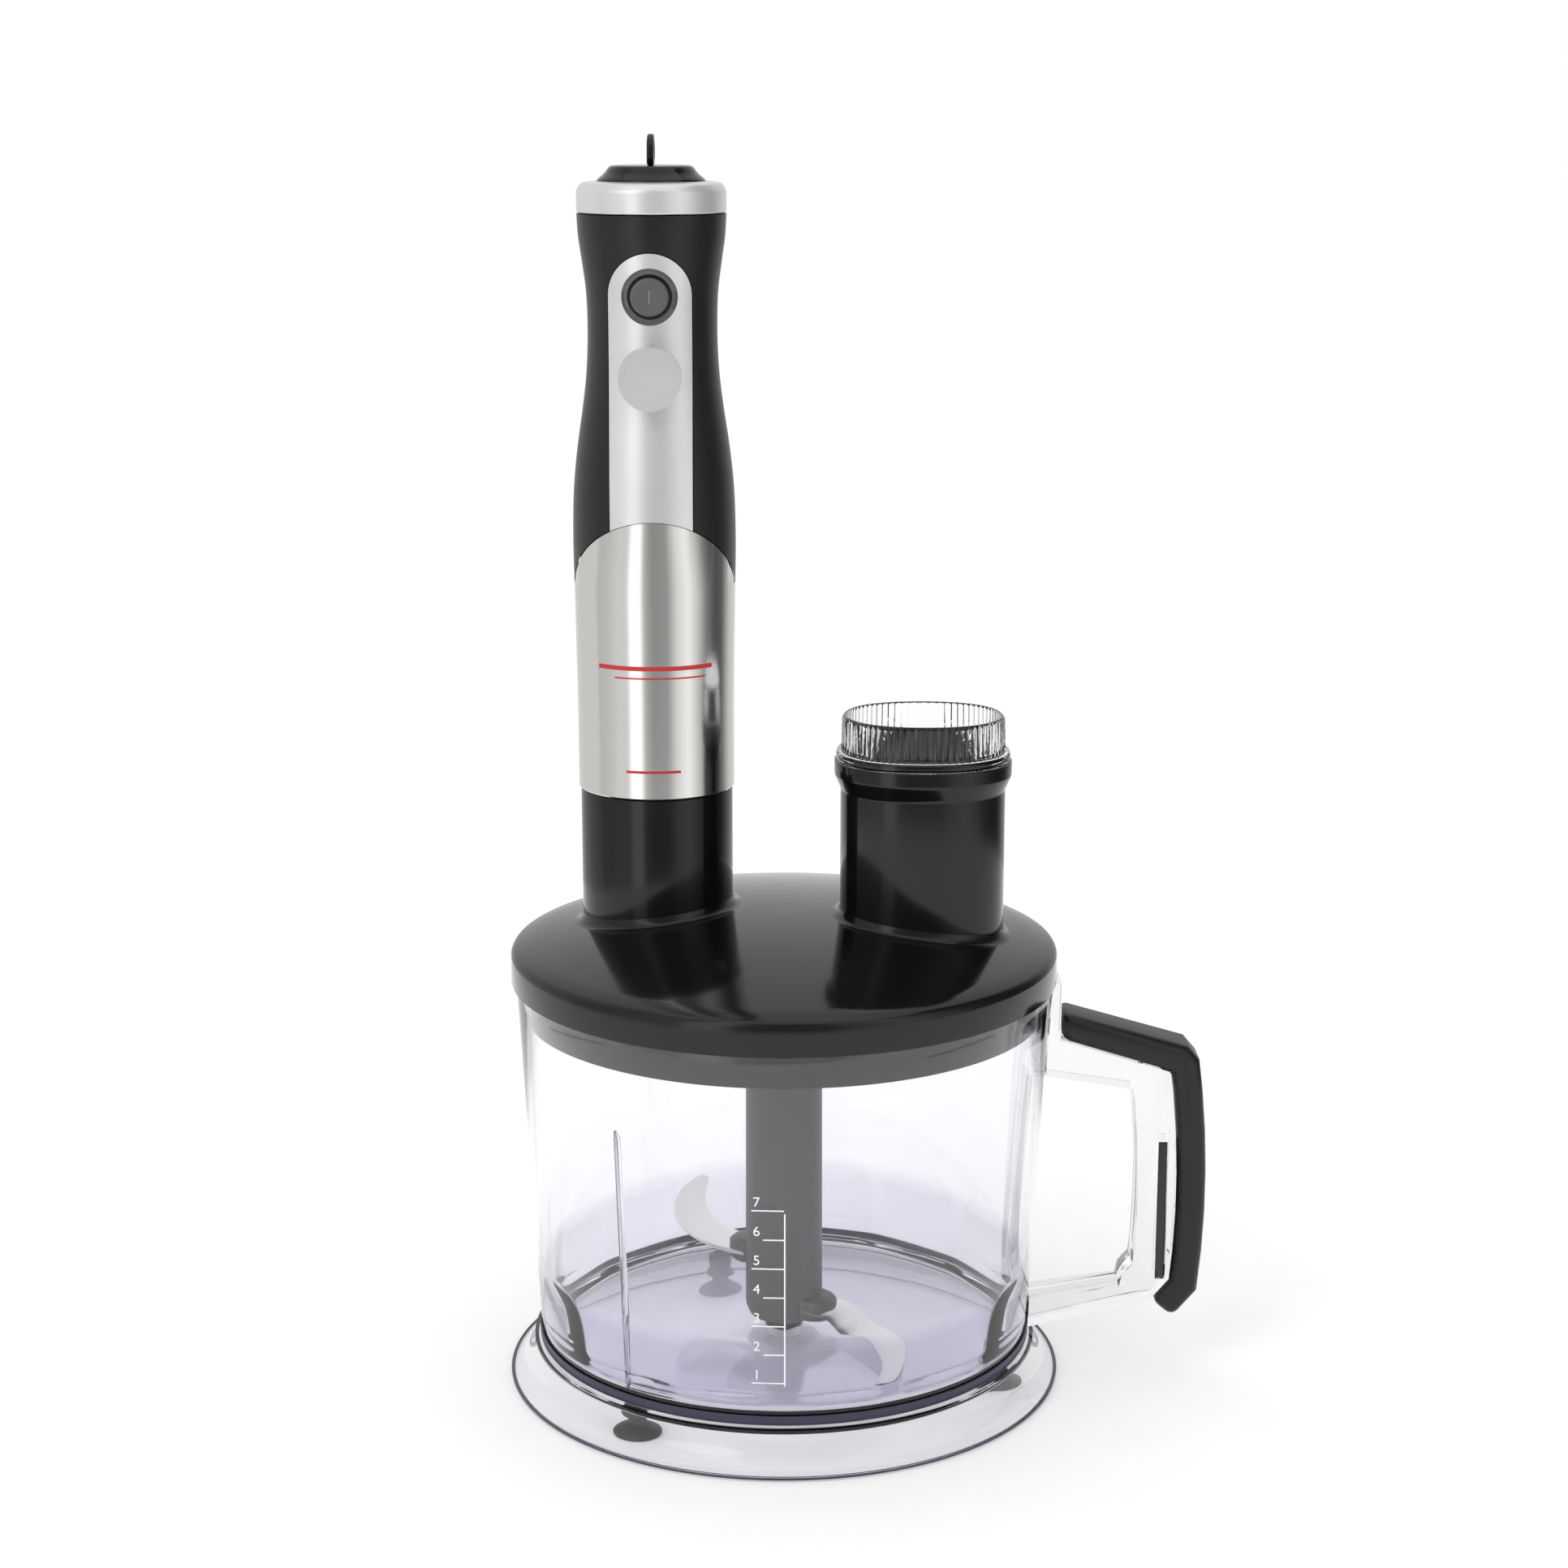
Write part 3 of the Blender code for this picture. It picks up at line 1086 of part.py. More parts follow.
def make_stator(parent, iron, copper):
    """Laminated ring with a window each side, and a field coil through each window."""
    top = STATOR_BOTTOM + STATOR_HEIGHT
    stator = ring("motor_stator", STATOR_BORE, STATOR_RADIUS, STATOR_BOTTOM, top, iron, STEPS_MEDIUM)
    middle = (STATOR_BORE + STATOR_RADIUS) / 2
    for number, side in enumerate((-1, 1), start=1):
        near, far = side * (middle - COIL_DEPTH / 2), side * (middle + COIL_DEPTH / 2)
        x0, x1 = min(near, far), max(near, far)
        half = COIL_WIDTH / 2
        window = block("window", (x0 - GAP, -half - GAP, STATOR_BOTTOM - 1), (x1 + GAP, half + GAP, top + 1))
        cut(stator, window)
        coil = block(f"field_coil_{number}", (x0, -half, STATOR_BOTTOM - COIL_OVERHANG),
                     (x1, half, top + COIL_OVERHANG), copper)
        place(coil, parent)
    return place(stator, parent)


def toothed_outline(count, inner, outer, half_width):
    """Straight-sided teeth or fan blades that stand out from a hub."""
    points = []
    for i in range(count):
        middle = 2 * math.pi * i / count
        for radius, side in ((inner, -1), (outer, -1), (outer, 1), (inner, 1)):
            angle = middle + side * math.asin(half_width / radius)
            points.append((radius * math.cos(angle), radius * math.sin(angle)))
    return points


def make_armature(parent, iron, steel, copper, plastic):
    """Everything on the motor's shaft: core, commutator, fan and drive dog."""
    bore = SHAFT_RADIUS + GAP
    core_teeth = toothed_outline(ARMATURE_SLOTS, ARMATURE_RADIUS - 4, ARMATURE_RADIUS, 2.0)
    core = extruded("armature_core", core_teeth, STATOR_BOTTOM + 1, STATOR_BOTTOM + STATOR_HEIGHT - 1, iron)
    cut(core, rod("bore", bore, STATOR_BOTTOM, STATOR_BOTTOM + STATOR_HEIGHT))
    fan_blades = toothed_outline(FAN_BLADES, 6.0, FAN_RADIUS, 1.0)
    fan = extruded("cooling_fan", fan_blades, FAN_BOTTOM, FAN_BOTTOM + FAN_HEIGHT, plastic)
    cut(fan, rod("bore", bore, FAN_BOTTOM - 1, FAN_BOTTOM + FAN_HEIGHT + 1))
    commutator = ring("commutator", bore, COMMUTATOR_RADIUS, COMMUTATOR_BOTTOM,
                      COMMUTATOR_BOTTOM + COMMUTATOR_HEIGHT, copper, STEPS_SMALL)
    shaft = rod("armature_shaft", SHAFT_RADIUS, SHAFT_BOTTOM, SHAFT_TOP, material=steel)
    dog = extruded("drive_dog", polygon(6, DOG_HEX), DOG_BOTTOM, DOG_BOTTOM + DOG_HEX_HEIGHT + 1, plastic)
    join(dog, rod("flange", DOG_FLANGE_RADIUS, DOG_BOTTOM + DOG_HEX_HEIGHT, DOG_TOP, STEPS_SMALL))
    cut(dog, rod("bore", bore, SHAFT_BOTTOM - GAP, DOG_TOP + 1))
    for piece in (core, fan, commutator, shaft, dog):
        place(piece, parent)


def make_brushes(parent, material):
    bottom = COMMUTATOR_BOTTOM + (COMMUTATOR_HEIGHT - BRUSH_HEIGHT) / 2
    near = COMMUTATOR_RADIUS + RUNNING_GAP
    for number, side in enumerate((-1, 1), start=1):
        y0, y1 = sorted((side * near, side * (near + BRUSH_LENGTH)))
        brush = block(f"carbon_brush_{number}", (-BRUSH_WIDTH / 2, y0, bottom),
                      (BRUSH_WIDTH / 2, y1, bottom + BRUSH_HEIGHT), material)
        place(brush, parent)


# ---------------------------------------------------------------- the whole object

def add_axis(name, x, y, parent=None):
    axis = bpy.data.objects.new(name, None)
    axis.location = (x * MM, y * MM, 0)
    axis.parent = parent
    bpy.context.scene.collection.objects.link(axis)
    return axis


def main():
    for old in list(bpy.data.objects):
        bpy.data.objects.remove(old)
    paint = make_materials()
    bowl_axis = add_axis("bowl_axis", BOWL_X, 0)
    drive_axis = add_axis("drive_axis", DRIVE.x, DRIVE.y, bowl_axis)

    make_base_plate(bowl_axis, paint["clear"])
    make_feet(bowl_axis, paint["rubber"])
    make_bowl(bowl_axis, paint["clear"])
    make_spindle_pin(bowl_axis, paint["steel"])
    make_handle_frame(bowl_axis, paint["clear"])
    make_grip_clip(bowl_axis, paint["satin"])
    make_handle_grip(bowl_axis, paint["satin"])

    make_blade_hub(bowl_axis, paint["grey"])
    make_hub_bush(bowl_axis, paint["white"])
    make_blade("upper_blade", UPPER_BLADE, UPPER_LOBE_ANGLE, bowl_axis, paint["steel"])
    make_blade("lower_blade", LOWER_BLADE, LOWER_LOBE_ANGLE, bowl_axis, paint["steel"])

    make_lid_cover(bowl_axis, paint["black"])
    make_lid_seal(bowl_axis, paint["rubber"])
    make_drive_collar(bowl_axis, paint["black"])
    make_feed_chute(bowl_axis, paint["black"])
    make_pusher(bowl_axis, paint["clear"])
    make_gear_cover(bowl_axis, paint["black"])
    make_gear_cover_screws(bowl_axis, paint["steel"])
    make_idler_pin(bowl_axis, paint["steel"])
    make_input_pinion(bowl_axis, paint["white"])
    make_input_coupling(bowl_axis, paint["black"])
    make_idler_gear(bowl_axis, paint["white"])
    make_output_gear(bowl_axis, paint["white"])

    make_handle_shells(drive_axis, paint["satin"])
    make_front_panel(drive_axis, paint["silver"])
    make_lower_sleeve(drive_axis, paint["steel"])
    make_top_ring(drive_axis, paint["silver"])
    make_top_cap(drive_axis, paint["black"])
    make_hanging_loop(drive_axis, paint["black"])
    make_coupling_housing(drive_axis, paint["black"])

    make_switch_board(drive_axis, paint["board"])
    for name, height, face, _ in BUTTONS:
        make_button(name, height, face, drive_axis, paint["button"])
        make_button_spring(name, height, face, drive_axis, paint["steel"])
        make_microswitch(name, height, face, drive_axis, paint["black"])

    make_bearings_and_brackets(drive_axis, paint["steel"], paint["iron"])
    make_damper(drive_axis, paint["rubber"])
    make_stator(drive_axis, paint["iron"], paint["copper"])
    make_armature(drive_axis, paint["iron"], paint["steel"], paint["copper"], paint["black"])
    make_brushes(drive_axis, paint["carbon"])


main()
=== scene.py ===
"""Looks of the stick blender standing in its processing bowl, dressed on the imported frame.

Lengths in this script are millimetres unless a name says otherwise; MM turns them into metres.
"""

import logging
import math
from dataclasses import dataclass, field
from enum import Enum
from typing import Callable, Sequence

import bmesh
import bpy
from mathutils import Matrix, Vector


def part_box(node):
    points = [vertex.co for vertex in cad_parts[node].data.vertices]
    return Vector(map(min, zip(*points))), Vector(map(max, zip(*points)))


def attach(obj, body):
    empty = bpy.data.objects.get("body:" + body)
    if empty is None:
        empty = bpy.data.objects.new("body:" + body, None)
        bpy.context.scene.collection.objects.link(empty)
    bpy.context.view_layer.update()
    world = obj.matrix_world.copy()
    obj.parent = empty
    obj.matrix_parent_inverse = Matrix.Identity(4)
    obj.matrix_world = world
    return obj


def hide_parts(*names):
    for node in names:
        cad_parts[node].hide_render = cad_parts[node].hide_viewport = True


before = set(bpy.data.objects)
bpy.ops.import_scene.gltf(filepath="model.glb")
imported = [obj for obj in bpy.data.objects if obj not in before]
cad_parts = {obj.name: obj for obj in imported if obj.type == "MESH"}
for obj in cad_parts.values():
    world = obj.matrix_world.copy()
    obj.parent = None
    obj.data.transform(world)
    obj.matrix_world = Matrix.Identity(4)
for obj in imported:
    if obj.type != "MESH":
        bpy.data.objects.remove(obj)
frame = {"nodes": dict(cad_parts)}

MM = 0.001
LOG = logging.getLogger("blender_set")
Point2 = tuple[float, float]
Point3 = tuple[float, float, float]
Colour = tuple[float, float, float]
Piece = bpy.types.Object
Material = bpy.types.Material
Socket = bpy.types.NodeSocket
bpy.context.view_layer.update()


class Turn(Enum):
    """Whether a skin of rings closes on itself or is capped at its ends."""

    RING = "ring"
    SOLID = "solid"


# ------------------------------------------------------------------ shapes

def catmull(points: Sequence[Point2], steps: int) -> list[Point2]:
    """A smooth line through points.

    Args:
        points: The points that the line passes through.
        steps: How many parts each span is cut into.

    Returns:
        The points of the smooth line.
    """
    line: list[Point2] = []
    last = len(points) - 1
    for i in range(last):
        p0, p1 = points[max(i - 1, 0)], points[i]
        p2, p3 = points[i + 1], points[min(i + 2, last)]
        for k in range(steps):
            t = k / steps
            line.append(tuple(
                0.5 * (2 * b + (c - a) * t + (2 * a - 5 * b + 4 * c - d) * t * t
                       + (3 * b - a - 3 * c + d) * t**3)
                for a, b, c, d in zip(p0, p1, p2, p3)))
    return line + [tuple(points[-1])]


def rounded(points: Sequence[Point2], radius: float, steps: int = 4, closed: bool = True) -> list[Point2]:
    """A polygon with its corners rounded.

    Args:
        points: The corners.
        radius: How far the rounding reaches from a corner, held to under half of the shorter side.
        steps: Parts in each rounding.
        closed: Whether the line closes; if not, its two ends are kept.

    Returns:
        The rounded outline.
    """
    result: list[Point2] = []
    count = len(points)
    for i, point in enumerate(points):
        corner = Vector(point)
        if not closed and i in (0, count - 1):
            result.append(tuple(corner))
            continue
        before = Vector(points[i - 1]) - corner
        after = Vector(points[(i + 1) % count]) - corner
        reach = min(radius, before.length / 2.2, after.length / 2.2)
        start = corner + before.normalized() * reach
        end = corner + after.normalized() * reach
        for k in range(steps + 1):
            t = k / steps
            bent = start * (1 - t) ** 2 + corner * 2 * t * (1 - t) + end * t * t
            result.append(tuple(bent))
    return result


def arc(centre: Point2, radius: float, start: float, end: float, steps: int) -> list[Point2]:
    """Points on an arc from the start angle to the end angle, in degrees."""
    angles = [math.radians(start + (end - start) * i / steps) for i in range(steps + 1)]
    return [(centre[0] + radius * math.cos(a), centre[1] + radius * math.sin(a)) for a in angles]


def circle(radius: float, height: float, steps: int) -> list[Point3]:
    """A level ring of points."""
    return [(radius * math.cos(2 * math.pi * i / steps), radius * math.sin(2 * math.pi * i / steps), height)
            for i in range(steps)]


def oval(half_width: float, half_depth: float, height: float, steps: int,
         power: float = 2.25) -> list[Point3]:
    """A level ring, squarer than an ellipse where the power is over 2.

    Args:
        half_width: Its reach along X.
        half_depth: Its reach along Y.
        height: Its level.
        steps: How many points it has.
        power: 2 gives an ellipse, and more gives squarer corners.

    Returns:
        The ring's points.
    """
    points = []
    for i in range(steps):
        angle = 2 * math.pi * i / steps
        c, s = math.cos(angle), math.sin(angle)
        points.append((math.copysign(abs(c) ** (2 / power), c) * half_width,
                       math.copysign(abs(s) ** (2 / power), s) * half_depth, height))
    return points


def add_object(name: str, points: Sequence[Point3], faces: Sequence[Sequence[int]],
               origin: Vector) -> Piece:
    """A mesh object from points in millimetres about an origin in metres.

    Args:
        name: The piece's name.
        points: Corners, in millimetres, relative to the origin.
        faces: Corner numbers of each face.
        origin: Where the points are measured from, in metres.

    Returns:
        The new object, at the world's origin with its place in its mesh.
    """
    mesh = bpy.data.meshes.new(name)
    mesh.from_pydata([tuple(Vector(p) * MM + origin) for p in points], [], [list(f) for f in faces])
    model = bmesh.new()
    model.from_mesh(mesh)
    bmesh.ops.remove_doubles(model, verts=model.verts, dist=1e-6)
    bmesh.ops.recalc_face_normals(model, faces=model.faces)
    model.to_mesh(mesh)
    model.free()
    piece = bpy.data.objects.new(name, mesh)
    bpy.context.scene.collection.objects.link(piece)
    smooth(piece)
    return piece


def smooth(piece: Piece, angle: float = 32.0) -> None:
    """Shade smooth, with edges sharper than the angle kept crisp."""
    piece.data.shade_smooth()
    piece.data.set_sharp_from_angle(angle=math.radians(angle))


def loft(name: str, rings: Sequence[Sequence[Point3]], origin: Vector, turn: Turn = Turn.RING) -> Piece:
    """A skin over equal rings.

    Args:
        name: The piece's name.
        rings: Rings with the same number of points.
        origin: Where the points are measured from, in metres.
        turn: RING joins the last ring to the first; SOLID caps both ends.

    Returns:
        The new object.
    """
    steps = len(rings[0])
    points = [p for ring in rings for p in ring]
    faces: list[tuple[int, ...]] = []
    count = len(rings)
    for k in range(count if turn is Turn.RING else count - 1):
        low, high = k * steps, ((k + 1) % count) * steps
        faces += [(low + i, low + (i + 1) % steps, high + (i + 1) % steps, high + i) for i in range(steps)]
    if turn is Turn.SOLID:
        faces += [tuple(range(steps)), tuple(range((count - 1) * steps, count * steps))]
    return add_object(name, points, faces, origin)


def lathe(name: str, profile: Sequence[Point2], origin: Vector, steps: int = 128) -> Piece:
    """A turned piece from (radius, height) points.

    Args:
        name: The piece's name.
        profile: The outline, closed as a ring unless both its ends lie on the axis.
        origin: The axis, in metres.
        steps: Flat faces round a full turn.

    Returns:
        The new object.
    """
    solid = profile[0][0] == 0 and profile[-1][0] == 0
    body = profile[1:-1] if solid else profile
    rings = [circle(r, z, steps) for r, z in body]
    return loft(name, rings, origin, Turn.SOLID if solid else Turn.RING)


def prism(name: str, outline: Sequence[Point2], low: float, high: float, origin: Vector,
          axis: str = "Z") -> Piece:
    """A flat outline carried along an axis.

    Args:
        name: The piece's name.
        outline: Points in the plane of the other two axes, in their alphabetical order.
        low: Start along the axis.
        high: End along the axis.
        origin: Where the points are measured from, in metres.
        axis: X, Y or Z.

    Returns:
        The new object.
    """
    placed: dict[str, Callable[[float, float, float], Point3]] = {
        "X": lambda a, b, c: (c, a, b), "Y": lambda a, b, c: (a, c, b), "Z": lambda a, b, c: (a, b, c)}
    rings = [[placed[axis](a, b, level) for a, b in outline] for level in (low, high)]
    return loft(name, rings, origin, Turn.SOLID)


def applied(piece: Piece) -> Piece:
    """Fix a piece's modifiers into its mesh, and shade it smooth again.

    Args:
        piece: A piece with its modifiers set.

    Returns:
        The piece, with none left.
    """
    bpy.context.view_layer.update()
    graph = bpy.context.evaluated_depsgraph_get()
    result = bpy.data.meshes.new_from_object(piece.evaluated_get(graph))
    piece.modifiers.clear()
    piece.data = result
    smooth(piece)
    return piece


def combine(piece: Piece, tool: Piece, operation: str) -> Piece:
    """Join, cut or intersect a piece with a tool, which is used up.

    Args:
        piece: The piece that is kept.
        tool: The other solid.
        operation: UNION, DIFFERENCE or INTERSECT.

    Returns:
        The piece.
    """
    modifier = piece.modifiers.new(operation, "BOOLEAN")
    modifier.operation = operation
    modifier.object = tool
    applied(piece)
    bpy.data.objects.remove(tool)
    return piece


def bevel(piece: Piece, width: float, segments: int = 3, angle: float = 40.0) -> Piece:
    """Round a piece's sharp edges.

    Args:
        piece: The piece.
        width: Width of the rounding, in millimetres.
        segments: Parts in the rounding.
        angle: Edges sharper than this many degrees are rounded.

    Returns:
        The piece.
    """
    modifier = piece.modifiers.new("edges", "BEVEL")
    modifier.width = width * MM
    modifier.segments = segments
    modifier.limit_method = "ANGLE"
    modifier.angle_limit = math.radians(angle)
    modifier.harden_normals = False
    return applied(piece)


def middle(node: str) -> Vector:
    """The axis of a round CAD node, as a point on the table, in metres."""
    low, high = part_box(node)
    return Vector(((low.x + high.x) / 2, (low.y + high.y) / 2, 0.0))


# ------------------------------------------------------------------ finishes

class Graph:
    """A material's node tree, with short ways to add to it."""

    def __init__(self, name: str) -> None:
        """Start from a plain Principled surface.

        Args:
            name: The material's name.
        """
        self.material = bpy.data.materials.new(name)
        self.material.use_nodes = True
        self.tree = self.material.node_tree
        self.shader = self.tree.nodes["Principled BSDF"]

    def feed(self, socket: Socket, value: object) -> None:
        """Link a socket to another socket, or set it to a constant.

        Args:
            socket: The input to feed.
            value: A socket, or a constant of the input's kind.
        """
        if isinstance(value, Socket):
            self.tree.links.new(value, socket)
        else:
            socket.default_value = value

    def add(self, kind: str, inputs: dict[object, object], **settings: object) -> Socket:
        """Add a node.

        Args:
            kind: The node's type.
            inputs: Values or sockets by input name or number.
            settings: Properties of the node.

        Returns:
            The node's first output.
        """
        node = self.tree.nodes.new(kind)
        for key, value in settings.items():
            setattr(node, key, value)
        for key, value in inputs.items():
            self.feed(node.inputs[key], value)
        return node.outputs[0]

    def place(self, stretch: Point3 = (1.0, 1.0, 1.0)) -> Socket:
        """The piece's own coordinates, drawn out by a factor on each axis."""
        node = self.tree.nodes.new("ShaderNodeTexCoord")
        scale = tuple(1 / s for s in stretch)
        return self.add("ShaderNodeMapping", {"Vector": node.outputs["Object"], "Scale": scale})

    def noise(self, size: float, detail: float = 2.0, stretch: Point3 = (1.0, 1.0, 1.0)) -> Socket:
        """Soft noise from 0 to 1 with patches of a size in millimetres."""
        return self.add("ShaderNodeTexNoise",
                        {"Vector": self.place(stretch), "Scale": 1 / (size * MM), "Detail": detail})

    def spread(self, value: Socket, low: float, high: float) -> Socket:
        """Carry the middle half of a 0 to 1 value onto a new range."""
        return self.add("ShaderNodeMapRange", {"Value": value, "From Min": 0.25, "From Max": 0.75,
                                               "To Min": low, "To Max": high})

    def blend(self, share: object, first: object, second: object) -> Socket:
        """A colour between two, by share.

        Args:
            share: 0 gives the first, 1 the second; a number or a socket.
            first: A colour, or a socket that carries one.
            second: The same.

        Returns:
            The mixed colour's socket.
        """
        node = self.tree.nodes.new("ShaderNodeMix")
        node.data_type = "RGBA"
        self.feed(node.inputs["Factor"], share)
        colours = [socket for socket in node.inputs if socket.type == "RGBA"]
        for socket, colour in zip(colours, (first, second)):
            self.feed(socket, colour if isinstance(colour, Socket) else (*colour, 1.0))
        return next(socket for socket in node.outputs if socket.type == "RGBA")

    def bump(self, height: Socket, depth: float) -> None:
        """Raise the surface by a height from 0 to 1, with its full depth in millimetres."""
        self.feed(self.shader.inputs["Normal"], self.add(
            "ShaderNodeBump", {"Height": height, "Distance": depth * MM, "Strength": 1.0}))

    def shine(self, **values: object) -> None:
        """Set the surface's inputs, with underscores for the spaces in their names."""
        for key, value in values.items():
            self.feed(self.shader.inputs[key.replace("_", " ")], value)


@dataclass(frozen=True)
class Finish:
    """An opaque surface whose tone and shine drift a little under a fine grain."""

    name: str
    colour: Colour
    roughness: float
    metallic: float = 0.0
    drift: float = 0.10
    patch: float = 24.0
    grain: float = 0.5
    depth: float = 0.004
    stretch: Point3 = (1.0, 1.0, 1.0)
    coat: float = 0.0
    specular: float = 0.5

    def material(self) -> Material:
        """Build the material."""
        graph = Graph(self.name)
        tone = graph.spread(graph.noise(self.patch, 3.0, self.stretch), 0.0, 1.0)
        dark = tuple(c * (1 - self.drift) for c in self.colour)
        light = tuple(min(c * (1 + self.drift), 1.0) for c in self.colour)
        fine = graph.noise(self.grain, 2.0, self.stretch)
        graph.shine(Base_Color=graph.blend(tone, dark, light), Metallic=self.metallic,
                    Roughness=graph.spread(fine, self.roughness * (1 - self.drift),
                                           self.roughness * (1 + self.drift)),
                    Coat_Weight=self.coat, Coat_Roughness=0.05, Specular_IOR_Level=self.specular)
        graph.bump(fine, self.depth)
        return graph.material


@dataclass(frozen=True)
class ClearPlastic:
    """Moulded see-through plastic with a faint tint and slow waves in its skin."""

    name: str
    tint: Colour
    roughness: float = 0.02
    deep: Colour = (0.0, 0.0, 0.0)
    deep_top: float = 0.0
    deep_fade: float = 9.0
    wave: float = 30.0
    depth: float = 0.02
    ior: float = 1.49

    def material(self) -> Material:
        """Build the material, with the deeper tint below its height."""
        graph = Graph(self.name)
        waves = graph.noise(self.wave, 1.0)
        tone = graph.blend(waves, self.tint, tuple(min(c * 1.01, 1.0) for c in self.tint))
        if self.deep_top:
            parts = graph.tree.nodes.new("ShaderNodeSeparateXYZ")
            graph.feed(parts.inputs[0], graph.place())
            share = graph.add("ShaderNodeMapRange", {
                "Value": parts.outputs["Z"], "From Min": (self.deep_top - self.deep_fade) * MM,
                "From Max": self.deep_top * MM, "To Min": 0.0, "To Max": 1.0},
                interpolation_type="SMOOTHSTEP")
            tone = graph.blend(share, self.deep, tone)
        graph.shine(Base_Color=tone, IOR=self.ior, Transmission_Weight=1.0,
                    Roughness=graph.spread(waves, self.roughness * 0.6, self.roughness * 1.4))
        graph.bump(waves, self.depth)
        return graph.material


@dataclass(frozen=True)
class Laminated:
    """Stacked sheets of iron, seen as fine level lines."""

    name: str
    colour: Colour
    sheet: float = 0.5

    def material(self) -> Material:
        """Build the material."""
        graph = Graph(self.name)
        lines = graph.add("ShaderNodeTexWave", {"Vector": graph.place(), "Scale": 1 / (self.sheet * MM) / 20,
                                                "Distortion": 0.3}, bands_direction="Z")
        dark = tuple(c * 0.6 for c in self.colour)
        graph.shine(Base_Color=graph.blend(lines, dark, self.colour), Metallic=0.8, Roughness=0.45)
        graph.bump(lines, 0.05)
        return graph.material


def made(finish: Finish | ClearPlastic | Laminated) -> Material:
    """A palette entry whose material is built when the palette is."""
    return field(default_factory=finish.material)


@dataclass(frozen=True)
class Palette:
    """Every material, built once."""

    clear: Material = made(ClearPlastic(
        "clear bowl", (0.962, 0.958, 0.98), deep=(0.80, 0.795, 0.885), deep_top=48.0))
    base: Material = made(ClearPlastic(
        "clear base", (0.885, 0.882, 0.915)))
    frame: Material = made(ClearPlastic(
        "clear handle", (0.885, 0.885, 0.90), wave=14.0, depth=0.04))
    tinted: Material = made(ClearPlastic(
        "clear pusher", (0.95, 0.95, 0.97), roughness=0.03, wave=12.0))
    violet: Material = made(Finish(
        "violet seal", (0.028, 0.026, 0.06), 0.35, depth=0.01))
    gloss: Material = made(Finish(
        "gloss black", (0.0045, 0.0045, 0.0052), 0.11, drift=0.15, patch=40.0, grain=18.0, depth=0.02,
        specular=0.42))
    inner: Material = made(Finish(
        "black plastic", (0.02, 0.02, 0.022), 0.38, grain=0.8, depth=0.01))
    satin: Material = made(Finish(
        "satin black grip", (0.009, 0.009, 0.0095), 0.34, specular=0.4, grain=0.7, depth=0.012))
    rubber: Material = made(Finish(
        "rubber", (0.009, 0.009, 0.010), 0.5, grain=0.6, depth=0.02))
    grey: Material = made(Finish(
        "dark grey plastic", (0.058, 0.058, 0.063), 0.45, grain=0.6, depth=0.003))
    button: Material = made(Finish(
        "button grey", (0.085, 0.087, 0.094), 0.45, grain=0.5, depth=0.012))
    # Lighter grey for the raised speed bars: painted highlight on their faces.
    mark: Material = made(Finish(
        "button mark", (0.15, 0.152, 0.155), 0.5))
    # Darker grey for the sheet in each button's dish: painted shade of the sloping recess.
    bezel: Material = made(Finish(
        "button bezel", (0.13, 0.131, 0.133), 0.32, metallic=0.3, grain=0.4, depth=0.004))
    silver: Material = made(Finish(
        "silver paint", (0.70, 0.70, 0.712), 0.32, metallic=0.6, drift=0.05, grain=0.25, depth=0.003,
        coat=0.3))
    steel: Material = made(Finish(
        "polished sleeve", (0.80, 0.79, 0.775), 0.15, metallic=1.0, drift=0.05, grain=0.6, depth=0.0015,
        stretch=(1.0, 1.0, 60.0)))
    blade: Material = made(Finish(
        "blade steel", (0.76, 0.76, 0.77), 0.24, metallic=1.0, drift=0.06, grain=0.3, depth=0.002,
        stretch=(14.0, 14.0, 1.0)))
    acetal: Material = made(Finish(
        "white gear plastic", (0.76, 0.76, 0.73), 0.4, drift=0.04))
    print_white: Material = made(Finish(
        "white print", (0.86, 0.86, 0.88), 0.5, drift=0.04))
    print_red: Material = made(Finish(
        "red print", (0.50, 0.012, 0.016), 0.4, drift=0.08))
    iron: Material = made(Laminated(
        "laminated iron", (0.34, 0.34, 0.35)))
    copper: Material = made(Finish(
        "enamelled copper", (0.66, 0.27, 0.12), 0.28, metallic=0.9, drift=0.15, grain=0.5, depth=0.05,
        stretch=(1.0, 1.0, 12.0)))
    carbon: Material = made(Finish(
        "carbon", (0.03, 0.03, 0.032), 0.55, drift=0.3, grain=0.3))
    board: Material = made(Finish(
        "circuit board", (0.02, 0.13, 0.06), 0.42, drift=0.15, patch=4.0))

    def by_slot(self) -> dict[str, Material]:
        """The material for each slot name that the CAD pieces carry."""
        return {"clear_plastic": self.clear, "black_rubber": self.rubber, "soft_grip": self.satin,
                "gloss_black": self.gloss, "inner_black": self.inner, "dark_grey": self.grey,
                "button_grey": self.button, "silver_panel": self.silver, "polished_sleeve": self.steel,
                "blade_steel": self.blade, "white_gear": self.acetal, "laminated_iron": self.iron,
                "copper": self.copper, "carbon": self.carbon, "board": self.board}


def finish_piece(piece: Piece, material: Material, body: str, node: str = "") -> Piece:
    """Give a piece its material and tie it to the body it moves with.

    Args:
        piece: The dressed piece.
        material: Its surface.
        body: The CAD body that carries it.
        node: The CAD node it stands in for, if any.

    Returns:
        The piece.
    """
    piece.data.materials.clear()
    piece.data.materials.append(material)
    if material.name.startswith("clear"):
        piece.visible_shadow = piece.visible_diffuse = False
    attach(piece, body)
    if node:
        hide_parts(node)
    LOG.info("%s rides on %s", piece.name, body)
    return piece


# ------------------------------------------------------------------ bowl and base

